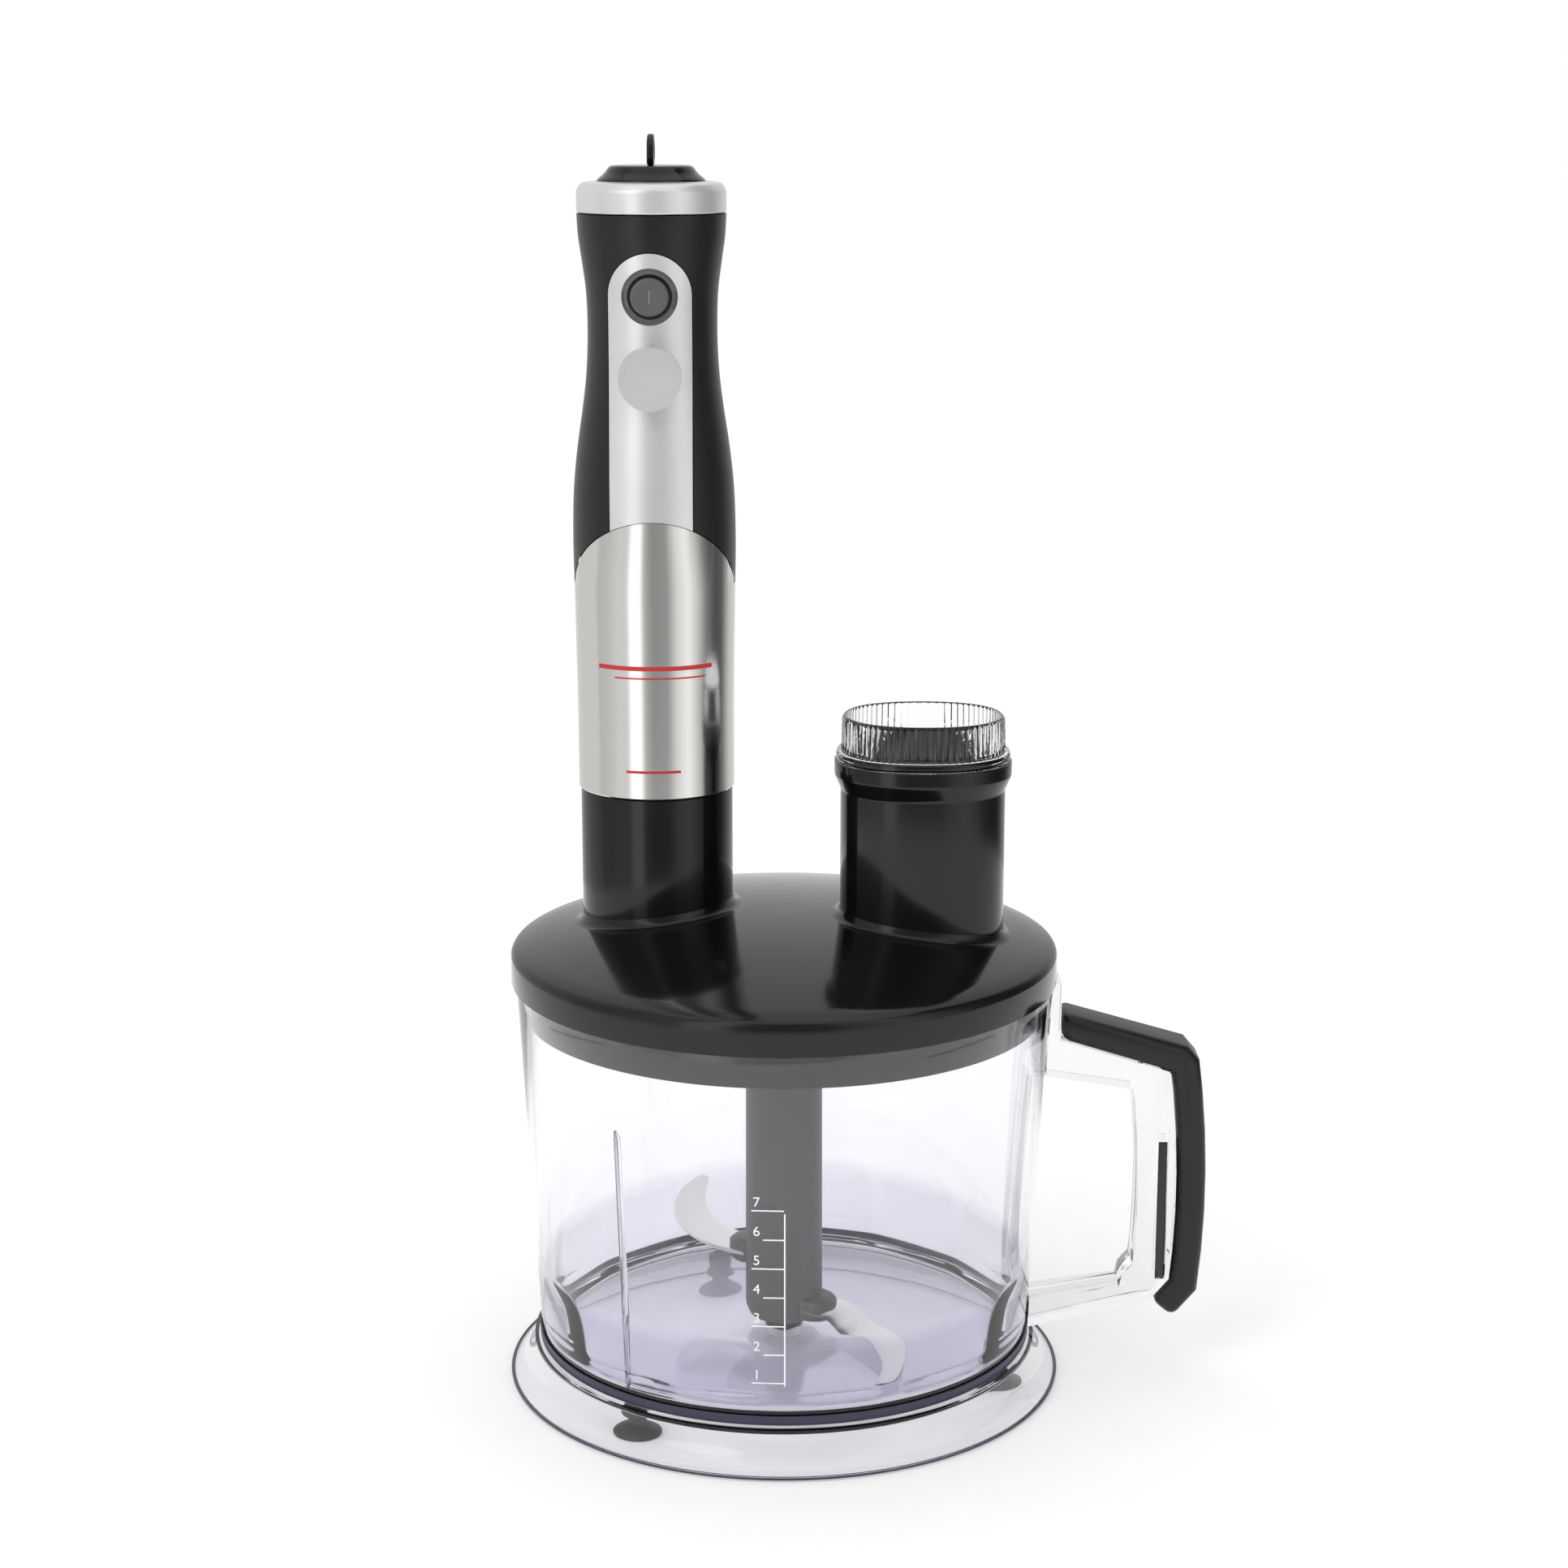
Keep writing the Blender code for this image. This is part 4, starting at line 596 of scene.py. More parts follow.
@dataclass
class Base:
    """The clear base plate with its flared skirt and three suction feet."""

    palette: Palette
    edge_radius: float = 101.0
    top: float = 15.0
    thickness: float = 2.0
    waist: float = 92.0
    edge_height: float = 1.5
    ridge_radius: float = 86.2
    foot_circle: float = 78.0
    foot_angles: tuple[float, ...] = (229.0, 349.0, 109.0)

    def __post_init__(self) -> None:
        """Find the bowl's axis."""
        self.axis = middle("base_plate")

    def feet_places(self) -> list[Vector]:
        """Where each foot stands."""
        angles = [math.radians(a) for a in self.foot_angles]
        return [self.axis + Vector((math.cos(a), math.sin(a), 0)) * self.foot_circle * MM for a in angles]

    def plate(self) -> None:
        """The disc, its locating ridge and its flared skirt with a rolled edge."""
        reach, drop = self.edge_radius - self.waist, self.top - self.edge_height

        def flare(wide: float, tall: float, start: float, end: float) -> list[Point2]:
            """Points on the flare's quarter oval, in degrees."""
            return [(self.edge_radius + wide * math.cos(a), self.top + tall * math.sin(a))
                    for a in (math.radians(start + (end - start) * i / 14) for i in range(15))]

        ridge = self.ridge_radius
        profile = [(0.0, self.top - self.thickness), (ridge - 8, self.top - self.thickness)]
        profile += flare(reach + 1.8, drop, 190, 262)
        profile += arc((self.edge_radius - 0.6, self.edge_height - 0.2), 0.6, 200, 430, 10)
        profile += flare(reach, drop, 268, 182)
        profile += rounded([(self.waist - 1.4, self.top), (ridge, self.top), (ridge, self.top + 1.0),
                            (ridge - 1.8, self.top + 1.0), (ridge - 1.8, self.top), (ridge - 6, self.top)],
                           0.4, closed=False)
        profile.append((0.0, self.top))
        finish_piece(lathe("base-plate", profile, self.axis, 160), self.palette.base, "base", "base_plate")

    def rim_line(self) -> None:
        """The thin dark seal along the skirt's lower edge."""
        section = arc((self.edge_radius - 0.55, self.edge_height - 0.7), 0.45, 0, 324, 9)
        finish_piece(lathe("base-edge-seal", section, self.axis, 160), self.palette.violet, "base")

    def feet(self) -> None:
        """Rubber suction feet: cup, ribbed waist and head."""
        cup = catmull([(8.5, 0.0), (8.45, 0.9), (6.6, 2.2), (4.0, 3.6), (3.2, 4.6)], 4)
        ribs = catmull([(3.2, 4.6), (3.3, 5.8), (5.2, 6.6), (5.6, 7.4), (5.2, 8.2), (3.7, 8.8), (3.9, 9.6),
                        (4.4, 10.4), (4.3, 12.4)], 4)
        inside = [(0.0, 1.9), (2.4, 1.6), (4.6, 0.9), (6.6, 0.2), (7.6, 0.0)]
        shank = rounded([(4.3, 12.6), (2.6, 12.7), (2.6, 14.8), (0.8, 14.8)], 0.3, closed=False)
        for number, spot in enumerate(self.feet_places(), start=1):
            foot = lathe(f"suction-foot-{number}", inside + cup + ribs[1:] + shank + [(0.0, 14.8)], spot, 56)
            finish_piece(foot, self.palette.rubber, "base", f"suction_foot_{number}")

    def build(self) -> None:
        """Make and dress the base."""
        self.plate()
        self.rim_line()
        self.feet()


@dataclass
class Bowl:
    """The clear bowl: tapered wall, scalloped lower corner, ribs, scale and spindle."""

    palette: Palette
    bottom: float = 15.3
    step: float = 149.5
    top: float = 153.5
    bottom_radius: float = 89.2
    top_radius: float = 96.2
    rim_radius: float = 95.6
    wall: float = 2.4
    floor_top: float = 18.3
    corner: float = 7.0
    facets: int = 14
    facet_top: float = 46.0
    facet_depth: float = 2.2
    facet_turn: float = 12.0
    steps: int = 280
    ribs: tuple[tuple[str, float, float, float], ...] = (
        ("long-rib", 232.0, 20.0, 116.0), ("back-rib", 110.0, 96.0, 134.0))
    rib_depth: float = 2.6
    rib_half: float = 0.9
    scale_angle: float = 270.0
    scale_first: float = 30.0
    scale_pitch: float = 10.6
    marks: int = 7
    tick_lift: float = 0.9
    tick_height: float = 0.45
    long_tick: float = 11.0
    short_tick: float = 7.0
    numeral_size: float = 5.0
    numeral_place: float = 10.5
    numeral_lift: float = 2.6
    pin_radius: float = 3.0
    pin_bottom: float = 19.3
    pin_top: float = 53.3

    def __post_init__(self) -> None:
        """Find the bowl's axis."""
        self.axis = middle("bowl")
        self.axis.x = middle("base_plate").x

    def outer(self, height: float) -> float:
        """Outside radius of the wall at a height."""
        share = (height - self.bottom) / (self.step - self.bottom)
        return self.bottom_radius + (self.top_radius - self.bottom_radius) * share

    def dent(self, angle: float, height: float) -> float:
        """How far the inner wall comes in at an angle: flat faces with arched tops, none at the floor.

        Args:
            angle: Direction from the bowl's axis, in degrees.
            height: Height on the wall.

        Returns:
            The distance inwards.
        """
        pitch = 360 / self.facets
        across = ((angle + self.facet_turn) % pitch) / pitch * 2 - 1
        arch = self.floor_top + (self.facet_top - self.floor_top) * math.sqrt(max(1 - across**4, 0))
        if height >= arch:
            return 0.0
        fall = (arch - height) / (self.facet_top - self.floor_top)
        settle = min((height - self.floor_top) / self.corner, 1.0)
        return self.facet_depth * fall**0.6 * (1 - across * across) * (0.25 + 0.75 * settle)

    def shell(self) -> None:
        """The bowl's body, with facets moulded inside its lower corner."""
        outside = rounded([(self.bottom_radius - self.wall, self.bottom + 1.0),
                           (self.bottom_radius - self.wall, self.bottom), (self.bottom_radius, self.bottom),
                           (self.outer(self.step), self.step), (self.rim_radius, self.step),
                           (self.rim_radius, self.top), (self.rim_radius - self.wall, self.top),
                           (self.rim_radius - self.wall, self.step)], 0.5, 3, closed=False)
        rings = [circle(r, z, self.steps) for r, z in outside]
        heights = [self.step - 6] + [self.facet_top + 4 - i * 1.6 for i in range(17)]
        for height in [h for h in heights if h > self.floor_top + self.corner]:
            rings.append(self.inner_ring(self.outer(height) - self.wall, height))
        floor_edge = self.outer(self.floor_top) - self.wall - self.corner
        for r, z in arc((floor_edge, self.floor_top + self.corner), self.corner, 0, -90, 8):
            rings.append(self.inner_ring(r, z))
        boss = rounded([(30.0, self.floor_top), (6.5, self.floor_top), (6.5, self.floor_top + 3.5),
                        (3.3, self.floor_top + 3.5), (3.3, self.floor_top + 1.0)], 0.8, 3, closed=False)
        rings += [circle(r, z, self.steps) for r, z in boss]
        finish_piece(loft("bowl-body", rings, self.axis, Turn.SOLID), self.palette.clear, "bowl", "bowl")

    def inner_ring(self, radius: float, height: float) -> list[Point3]:
        """A ring of the inner wall, brought in by the facets.

        Args:
            radius: Radius where nothing comes in.
            height: The ring's height.

        Returns:
            The ring's points.
        """
        ring = []
        for i in range(self.steps):
            angle = 360 * i / self.steps
            near = radius - self.dent(angle, height)
            turn = math.radians(angle)
            ring.append((near * math.cos(turn), near * math.sin(turn), height))
        return ring

    def foot_ring(self) -> None:
        """The dark line round the bowl's foot."""
        section = rounded([(self.bottom_radius + 0.1, 15.5), (self.bottom_radius + 0.75, 15.5),
                           (self.bottom_radius + 0.9, 18.9), (self.bottom_radius + 0.35, 18.9)], 0.25, 3)
        finish_piece(lathe("bowl-foot-line", section, self.axis, 200), self.palette.violet, "bowl")

    def rib(self, name: str, angle: float, low: float, high: float) -> None:
        """A moulded rib down the inside of the wall.

        Args:
            name: The piece's name.
            angle: Direction from the bowl's axis, in degrees.
            low: Height of its lower end.
            high: Height of its upper end.
        """
        turn = math.radians(angle)
        away = Vector((math.cos(turn), math.sin(turn), 0))
        side = Vector((-away.y, away.x, 0))
        rings = []
        for height in (low, low + 2, high - 3, high):
            ends = height in (low, high)
            depth, half = (0.5, 0.5) if ends else (self.rib_depth, self.rib_half)
            wall = self.outer(height) - self.wall + 0.2
            corners = [(-half, 0.0), (-half * 0.6, depth * 0.8), (0.0, depth),
                       (half * 0.6, depth * 0.8), (half, 0.0)]
            rings.append([tuple(away * (wall - d) + side * s + Vector((0, 0, height))) for s, d in corners])
        finish_piece(loft(name, rings, self.axis, Turn.SOLID), self.palette.clear, "bowl")

    def stroke(self, turn: float, height: float, wide: float, tall: float) -> list[list[Point3]]:
        """A thin printed bar on the outside of the wall, as two rings.

        Args:
            turn: Direction of its left end, in radians.
            height: Height of its lower edge.
            wide: Its length round the wall.
            tall: Its length up the wall.

        Returns:
            Its inner and outer rings of corners.
        """
        rings = []
        for off in (0.03, 0.16):
            ring = []
            for dx, dz in ((0, 0), (wide, 0), (wide, tall), (0, tall)):
                radius = self.outer(height + dz) + off
                angle = turn + dx / radius
                ring.append((radius * math.cos(angle), radius * math.sin(angle), height + dz))
            rings.append(ring)
        return rings

    def scale(self) -> None:
        """White level marks: a line up the wall with ticks, and a numeral by each."""
        turn = math.radians(self.scale_angle)
        line_top = self.scale_first + self.scale_pitch * (self.marks - 1)
        bars = [self.stroke(turn, self.scale_first, 0.5, line_top - self.scale_first)]
        for i in range(self.marks):
            height = self.scale_first + self.scale_pitch * i + self.tick_lift
            length = self.short_tick if i % 2 else self.long_tick
            bars.append(self.stroke(turn - length / self.outer(height), height, length, self.tick_height))
        for number, bar in enumerate(bars):
            piece = loft(f"scale-mark-{number}", bar, self.axis, Turn.SOLID)
            finish_piece(piece, self.palette.print_white, "bowl")
        for i in range(self.marks):
            height = self.scale_first + self.scale_pitch * i
            angle = turn - self.numeral_place / self.outer(height)
            self.numeral(str(i + 1), angle, height + self.numeral_lift)

    def numeral(self, text: str, angle: float, height: float) -> None:
        """A printed level number, laid on the wall.

        Args:
            text: The number.
            angle: Direction of its left edge, in radians.
            height: Height of its foot.
        """
        curve = bpy.data.curves.new(f"numeral-{text}", "FONT")
        curve.body = text
        curve.size = self.numeral_size * MM
        curve.extrude = 0.06 * MM
        letters = bpy.data.objects.new(f"numeral-{text}", curve)
        bpy.context.scene.collection.objects.link(letters)
        bpy.context.view_layer.update()
        mesh = bpy.data.meshes.new_from_object(letters)
        bpy.data.objects.remove(letters)
        for vertex in mesh.vertices:
            x, y, z = vertex.co
            level = height * MM + y
            radius = self.outer(level / MM) * MM + 0.1 * MM + z
            turned = angle + x / radius
            vertex.co = Vector((radius * math.cos(turned), radius * math.sin(turned), level)) + self.axis
        piece = bpy.data.objects.new(f"level-number-{text}", mesh)
        bpy.context.scene.collection.objects.link(piece)
        finish_piece(piece, self.palette.print_white, "bowl")

    def pin(self) -> None:
        """The steel spindle with its domed end."""
        radius, low = self.pin_radius, self.pin_bottom
        dome = arc((0, self.pin_top - radius), radius, 0, 86, 8)
        profile = [(0.0, low), (radius, low)] + dome + [(0.0, self.pin_top)]
        finish_piece(lathe("spindle", profile, self.axis, 48), self.palette.blade, "bowl", "spindle_pin")

    def build(self) -> None:
        """Make and dress the bowl."""
        self.shell()
        self.foot_ring()
        for rib in self.ribs:
            self.rib(*rib)
        self.scale()
        self.pin()


def refined(node: str, name: str, edge: float, segments: int = 3, angle: float = 40.0) -> Piece:
    """A CAD node's shape with its edges rounded.

    Args:
        node: The node it stands in for.
        name: The new piece's name.
        edge: Width of the rounding, in millimetres.
        segments: Parts in the rounding.
        angle: Edges sharper than this many degrees are rounded.

    Returns:
        The new piece.
    """
    source = frame["nodes"][node]
    model = bmesh.new()
    model.from_mesh(source.data)
    model.transform(source.matrix_world)
    bmesh.ops.remove_doubles(model, verts=model.verts, dist=2e-6)
    bmesh.ops.dissolve_limit(model, angle_limit=math.radians(0.6), verts=model.verts, edges=model.edges)
    mesh = bpy.data.meshes.new(name)
    model.to_mesh(mesh)
    model.free()
    piece = bpy.data.objects.new(name, mesh)
    bpy.context.scene.collection.objects.link(piece)
    return bevel(piece, edge, segments, angle)


@dataclass
class Handle:
    """The side handle: clear frame, black grip along its outside and the clip that holds it."""

    palette: Palette
    frame_edge: float = 1.6
    grip_edge: float = 3.4

    def build(self) -> None:
        """Make and dress the handle."""
        finish_piece(refined("handle_frame", "handle-frame", self.frame_edge), self.palette.frame,
                     "bowl", "handle_frame")
        finish_piece(refined("handle_grip", "handle-grip", self.grip_edge, 5), self.palette.satin,
                     "bowl", "handle_grip")
        finish_piece(refined("grip_clip", "grip-clip", 0.5), self.palette.inner, "bowl", "grip_clip")


# ------------------------------------------------------------------ hub and blades

@dataclass
class Knife:
    """The turning knife: a tall hub over the spindle and two curved blades."""

    palette: Palette
    hub_radius: float = 14.0
    hub_bottom: float = 22.1
    hub_top: float = 137.0
    bore: float = 7.3
    width: float = 17.0
    thickness: float = 1.5
    sweep: float = 34.0
    ground: float = 3.2
    bend_start: float = 22.0
    bend_length: float = 12.0
    lobe_radius: float = 7.5
    upper_lobe: Point3 = (150.0, 14.5, 44.0)
    lower_lobe: Point3 = (-33.0, 14.0, 27.5)
    upper_tip: float = 67.0
    lower_tip: float = 77.0
    upper_heights: Point3 = (44.0, 44.0, 50.0)
    lower_heights: Point3 = (27.5, 22.5, 22.0)
    drive_size: float = 6.93
    drive_height: float = 9.0
    bore_depth: float = 38.0
    steps: int = 30

    def __post_init__(self) -> None:
        """Find the knife's axis."""
        self.axis = middle("output_gear")

    def lobe(self, angle: float, reach: float, height: float) -> Piece:
        """A rounded shoulder that a blade comes out of.

        Args:
            angle: Direction that it points in, in degrees.
            reach: How far out its round end is centred.
            height: Height of its middle.

        Returns:
            The shoulder, as a solid to join to the hub.
        """
        half = self.lobe_radius
        outline = [(0.0, -half)] + arc((reach, 0), half, -90, 90, 24) + [(0.0, half)]
        turn = Matrix.Rotation(math.radians(angle), 2)
        placed = [tuple(turn @ Vector(p)) for p in outline]
        levels = [(-4.0, 0.86), (-3.6, 0.95), (-2.8, 1.0), (2.4, 1.0), (3.4, 0.95), (4.0, 0.84)]
        rings = [[(x * s, y * s, height + d) for x, y in placed] for d, s in levels]
        return loft("lobe", rings, self.axis, Turn.SOLID)

    def hub(self) -> None:
        """The hub's tube with its lobes, hexagonal drive and bore."""
        top, bottom, radius = self.hub_top, self.hub_bottom, self.hub_radius
        outside = rounded([(0, bottom), (radius - 1.8, bottom), (radius, bottom + 4.0), (radius, top - 2.0),
                           (radius - 2.0, top), (0, top)], 1.2, 4, closed=False)
        hub = lathe("knife-hub", outside, self.axis, 96)
        turns = [math.radians(60 * i + 30) for i in range(6)]
        hexagon = [(self.drive_size * math.cos(a), self.drive_size * math.sin(a)) for a in turns]
        drive = prism("hex", rounded(hexagon, 0.6, 3), top - 2, top + self.drive_height, self.axis)
        combine(hub, drive, "UNION")
        combine(hub, self.lobe(*self.upper_lobe), "UNION")
        combine(hub, self.lobe(*self.lower_lobe), "UNION")
        end = bottom + self.bore_depth
        bore = [(0, bottom - 1), (self.bore, bottom - 1), (self.bore, end), (0, end)]
        combine(hub, lathe("bore", bore, self.axis, 64), "DIFFERENCE")
        finish_piece(bevel(hub, 0.35, 2, 50), self.palette.grey, "blade", "blade_hub")

    def blade(self, name: str, node: str, tip: float, heights: Point3, angle: float) -> None:
        """A curved blade with a ground leading edge and a rounded tip.

        Args:
            name: The piece's name.
            node: The CAD node it stands in for.
            tip: Radius that its tip reaches.
            heights: Its height at the root, after the bend and at the tip.
            angle: Direction that it points in, in degrees.
        """
        root, rings = self.hub_radius - 1.7, []
        turn = Matrix.Rotation(math.radians(angle), 3, "Z")
        for i in range(self.steps + 1):
            t = 1 - (1 - i / self.steps) ** 1.6
            radius = root + (tip - root) * t
            sweep = -math.radians(self.sweep) * max(radius - self.hub_radius, 0) ** 2 / (tip - root) ** 2
            bend = min(max((radius - self.bend_start) / self.bend_length, 0.0), 1.0)
            bend = bend * bend * (3 - 2 * bend)
            height = (heights[0] + (heights[1] - heights[0]) * bend
                      + (heights[2] - heights[1]) * t * t)
            half = self.width / 2 * math.sqrt(max(1 - 0.985 * t**7, 0))
            ground = min(self.ground, half * 0.9)
            along = Vector((math.cos(sweep), math.sin(sweep), 0))
            across = Vector((-along.y, along.x, 0))
            thick = self.thickness / 2
            section = [(-half, 0.05), (-half, -0.05), (-half + ground, -thick), (half - 0.3, -thick),
                       (half, -thick + 0.3), (half, thick - 0.3), (half - 0.3, thick),
                       (-half + ground, thick)]
            rings.append([tuple(turn @ (along * radius + across * s + Vector((0, 0, height + d))))
                          for s, d in section])
        piece = loft(name, rings, self.axis, Turn.SOLID)
        finish_piece(piece, self.palette.blade, "blade", node)

    def build(self) -> None:
        """Make and dress the knife."""
        self.hub()
        self.blade("upper-blade", "upper_blade", self.upper_tip, self.upper_heights, self.upper_lobe[0])
        self.blade("lower-blade", "lower_blade", self.lower_tip, self.lower_heights, self.lower_lobe[0])


# ------------------------------------------------------------------ lid and pusher

@dataclass
class Lid:
    """The black lid: domed cover, catches, motor collar, feed chute and gear cover."""

    palette: Palette
    radius: float = 98.0
    bottom: float = 149.8
    edge: float = 162.6
    apex: float = 174.2
    flat_radius: float = 95.0
    wall: float = 2.2
    skirt_radius: float = 92.4
    skirt_bottom: float = 137.5
    channel_top: float = 156.0
    collar_radius: float = 27.2
    collar_wall: float = 2.6
    collar_bottom: float = 158.0
    collar_top: float = 217.0
    half_width: float = 29.2
    half_depth: float = 25.0
    chute_wall: float = 2.2
    chute_bottom: float = 135.0
    chute_top: float = 230.2
    mouth_step: float = 2.2
    mouth_height: float = 5.2
    mouth_taper: float = 5.2
    fillet: float = 3.2
    hole_gap: float = 0.25
    catch_angles: tuple[float, ...] = (40.0, 130.0, 220.0, 310.0)
    catch_span: float = 22.0
    catch_bottom: float = 142.0
    catch_rise: float = 2.0
    catch_thickness: float = 2.4
    drive_hole: float = 4.5
    pin_hole: float = 2.8
    pin_top: float = 162.5
    steps: int = 160

    def __post_init__(self) -> None:
        """Find the axes of the lid, the collar and the chute."""
        self.axis = middle("lid_cover")
        self.drive = middle("drive_collar")
        self.chute_axis = middle("feed_chute")
        rise = self.apex - self.edge
        self.dome_radius = (self.flat_radius**2 + rise**2) / (2 * rise)

    def dome(self, radius: float) -> float:
        """Height of the cover's outside at a radius."""
        return self.apex - self.dome_radius + math.sqrt(self.dome_radius**2 - radius**2)

    def dome_at(self, spot: Vector) -> float:
        """Height of the cover's outside at a place, given in metres."""
        return self.dome(min((spot - self.axis).xy.length / MM, self.flat_radius))

    def cover(self) -> None:
        """The domed cover with its rim, skirt and the holes for the collar and chute."""
        top = [(r, self.dome(r)) for r in [self.flat_radius * i / 16 for i in range(17)]]
        under = [(r, self.dome(r) - self.wall) for r in [88.0 * (16 - i) / 16 for i in range(17)]]
        edge = arc((self.radius - 3.2, self.edge - 3.4), 3.2, 76, 0, 8)
        side = rounded([(self.radius, self.edge - 3.4), (self.radius, self.bottom),
                        (self.radius - 1.8, self.bottom), (self.radius - 1.8, self.channel_top),
                        (self.skirt_radius, self.channel_top),
                        (self.skirt_radius, self.skirt_bottom), (self.skirt_radius - 2.0, self.skirt_bottom),
                        (self.skirt_radius - 2.0, self.channel_top), under[0]], 0.5, 3, closed=False)
        cover = lathe("lid-cover", top + edge + side[1:-1] + under, self.axis, self.steps)
        low, high = 120.0, 190.0
        gap = self.hole_gap
        ring = [p[:2] for p in circle(self.collar_radius + gap, 0, 96)]
        combine(cover, prism("hole", ring, low, high, self.drive), "DIFFERENCE")
        mouth = [p[:2] for p in oval(self.half_width + gap, self.half_depth + gap, 0, 96)]
        combine(cover, prism("hole", mouth, low, high, self.chute_axis), "DIFFERENCE")
        finish_piece(cover, self.palette.gloss, "lid", "lid_cover")

    def lugs(self) -> None:
        """Sloping catches round the lid's skirt."""
        for number, angle in enumerate(self.catch_angles, start=1):
            rings = []
            for i in range(13):
                t = i / 12
                turn = math.radians(angle + self.catch_span * (t - 0.5))
                grow = min(t, 1 - t, 0.12) / 0.12
                low = self.catch_bottom + self.catch_rise * t
                high = low + self.catch_thickness
                reach = self.skirt_radius - 0.2 + 0.9 * grow + 0.05
                rings.append([(r * math.cos(turn), r * math.sin(turn), z) for r, z in (
                    (self.skirt_radius - 0.4, low), (reach, low + 0.4), (reach, high - 0.4),
                    (self.skirt_radius - 0.4, high))])
            finish_piece(loft(f"lid-catch-{number}", rings, self.axis, Turn.SOLID), self.palette.gloss, "lid")

    def collar(self) -> None:
        """The upright cup that the motor unit stands in."""
        inside, floor = self.collar_radius - self.collar_wall, self.collar_bottom + 6.0
        profile = rounded([(0.0, self.collar_bottom), (self.collar_radius, self.collar_bottom),
                           (self.collar_radius, self.collar_top), (inside + 0.6, self.collar_top),
                           (inside, self.collar_top - 1.2), (inside, floor), (0.0, floor)],
                          0.5, 3, closed=False)
        collar = lathe("motor-collar", profile, self.drive, 112)
        below, above = self.collar_bottom - 8, self.collar_bottom + 12
        for radius, top, spot, steps in ((self.drive_hole, above, self.drive, 40),
                                         (self.pin_hole, self.pin_top, middle("idler_pin"), 32)):
            hole = lathe("hole", [(0, below), (radius, below), (radius, top), (0, top)], spot, steps)
            combine(collar, hole, "DIFFERENCE")
        finish_piece(collar, self.palette.gloss, "lid", "drive_collar")

    def skirting(self, name: str, spot: Vector, outline: Sequence[Point2],
                 normals: Sequence[Point2]) -> None:
        """A smooth fillet where an upright meets the dome.

        Args:
            name: The piece's name.
            spot: The upright's axis.
            outline: The upright's outline, in millimetres about its axis.
            normals: The outward direction at each point of the outline.
        """
        rings = []
        for k in range(8):
            turn = math.radians(90 * k / 7)
            out, up = self.fillet * (1 - math.sin(turn)), self.fillet * (1 - math.cos(turn))
            ring = []
            for (x, y), (nx, ny) in zip(outline, normals):
                place = Vector((x + nx * (out + 0.02), y + ny * (out + 0.02), 0)) * MM
                ring.append((place.x / MM, place.y / MM, self.dome_at(spot + place) + up + 0.02))
            rings.append(ring)
        low = []
        for (x, y), (nx, ny) in zip(outline, normals):
            place = Vector((x + nx * 0.02, y + ny * 0.02, 0)) * MM
            low.append((place.x / MM, place.y / MM, self.dome_at(spot + place) - 0.6))
        wide = [(x, y, z - 0.6) for x, y, z in rings[0]]
        finish_piece(loft(name, [wide] + rings + [low], spot), self.palette.gloss, "lid")

    def fillets(self) -> None:
        """Fillets round the collar and the chute."""
        around = [p[:2] for p in circle(1.0, 0, 112)]
        foot = [(x * self.collar_radius, y * self.collar_radius) for x, y in around]
        self.skirting("collar-fillet", self.drive, foot, around)
        outline = [p[:2] for p in oval(self.half_width, self.half_depth, 0, 112)]
        normals = []
        for i in range(len(outline)):
            ahead, behind = Vector(outline[(i + 1) % len(outline)]), Vector(outline[i - 1])
            step = (ahead - behind).normalized()
            normals.append((step.y, -step.x))
        self.skirting("chute-fillet", self.chute_axis, outline, normals)

    def chute(self) -> None:
        """The oval feed tube with its thicker, rounded mouth."""
        shoulder = self.chute_top - self.mouth_height
        step, wall = self.mouth_step, self.chute_wall
        outline = rounded([(-wall, self.chute_bottom), (0.0, self.chute_bottom),
                           (0.0, shoulder - self.mouth_taper), (step, shoulder),
                           (step, self.chute_top), (-wall, self.chute_top)], 0.7, 4)
        rings = [oval(self.half_width + d, self.half_depth + d, z, 112) for d, z in outline]
        finish_piece(loft("feed-chute", rings, self.chute_axis), self.palette.gloss, "lid", "feed_chute")

    def build(self) -> None:
        """Make and dress the lid."""
        self.cover()
        self.lugs()
        self.collar()
        self.chute()
        self.fillets()
        finish_piece(refined("gear_cover", "gear-cover", 0.5), self.palette.inner, "lid", "gear_cover")


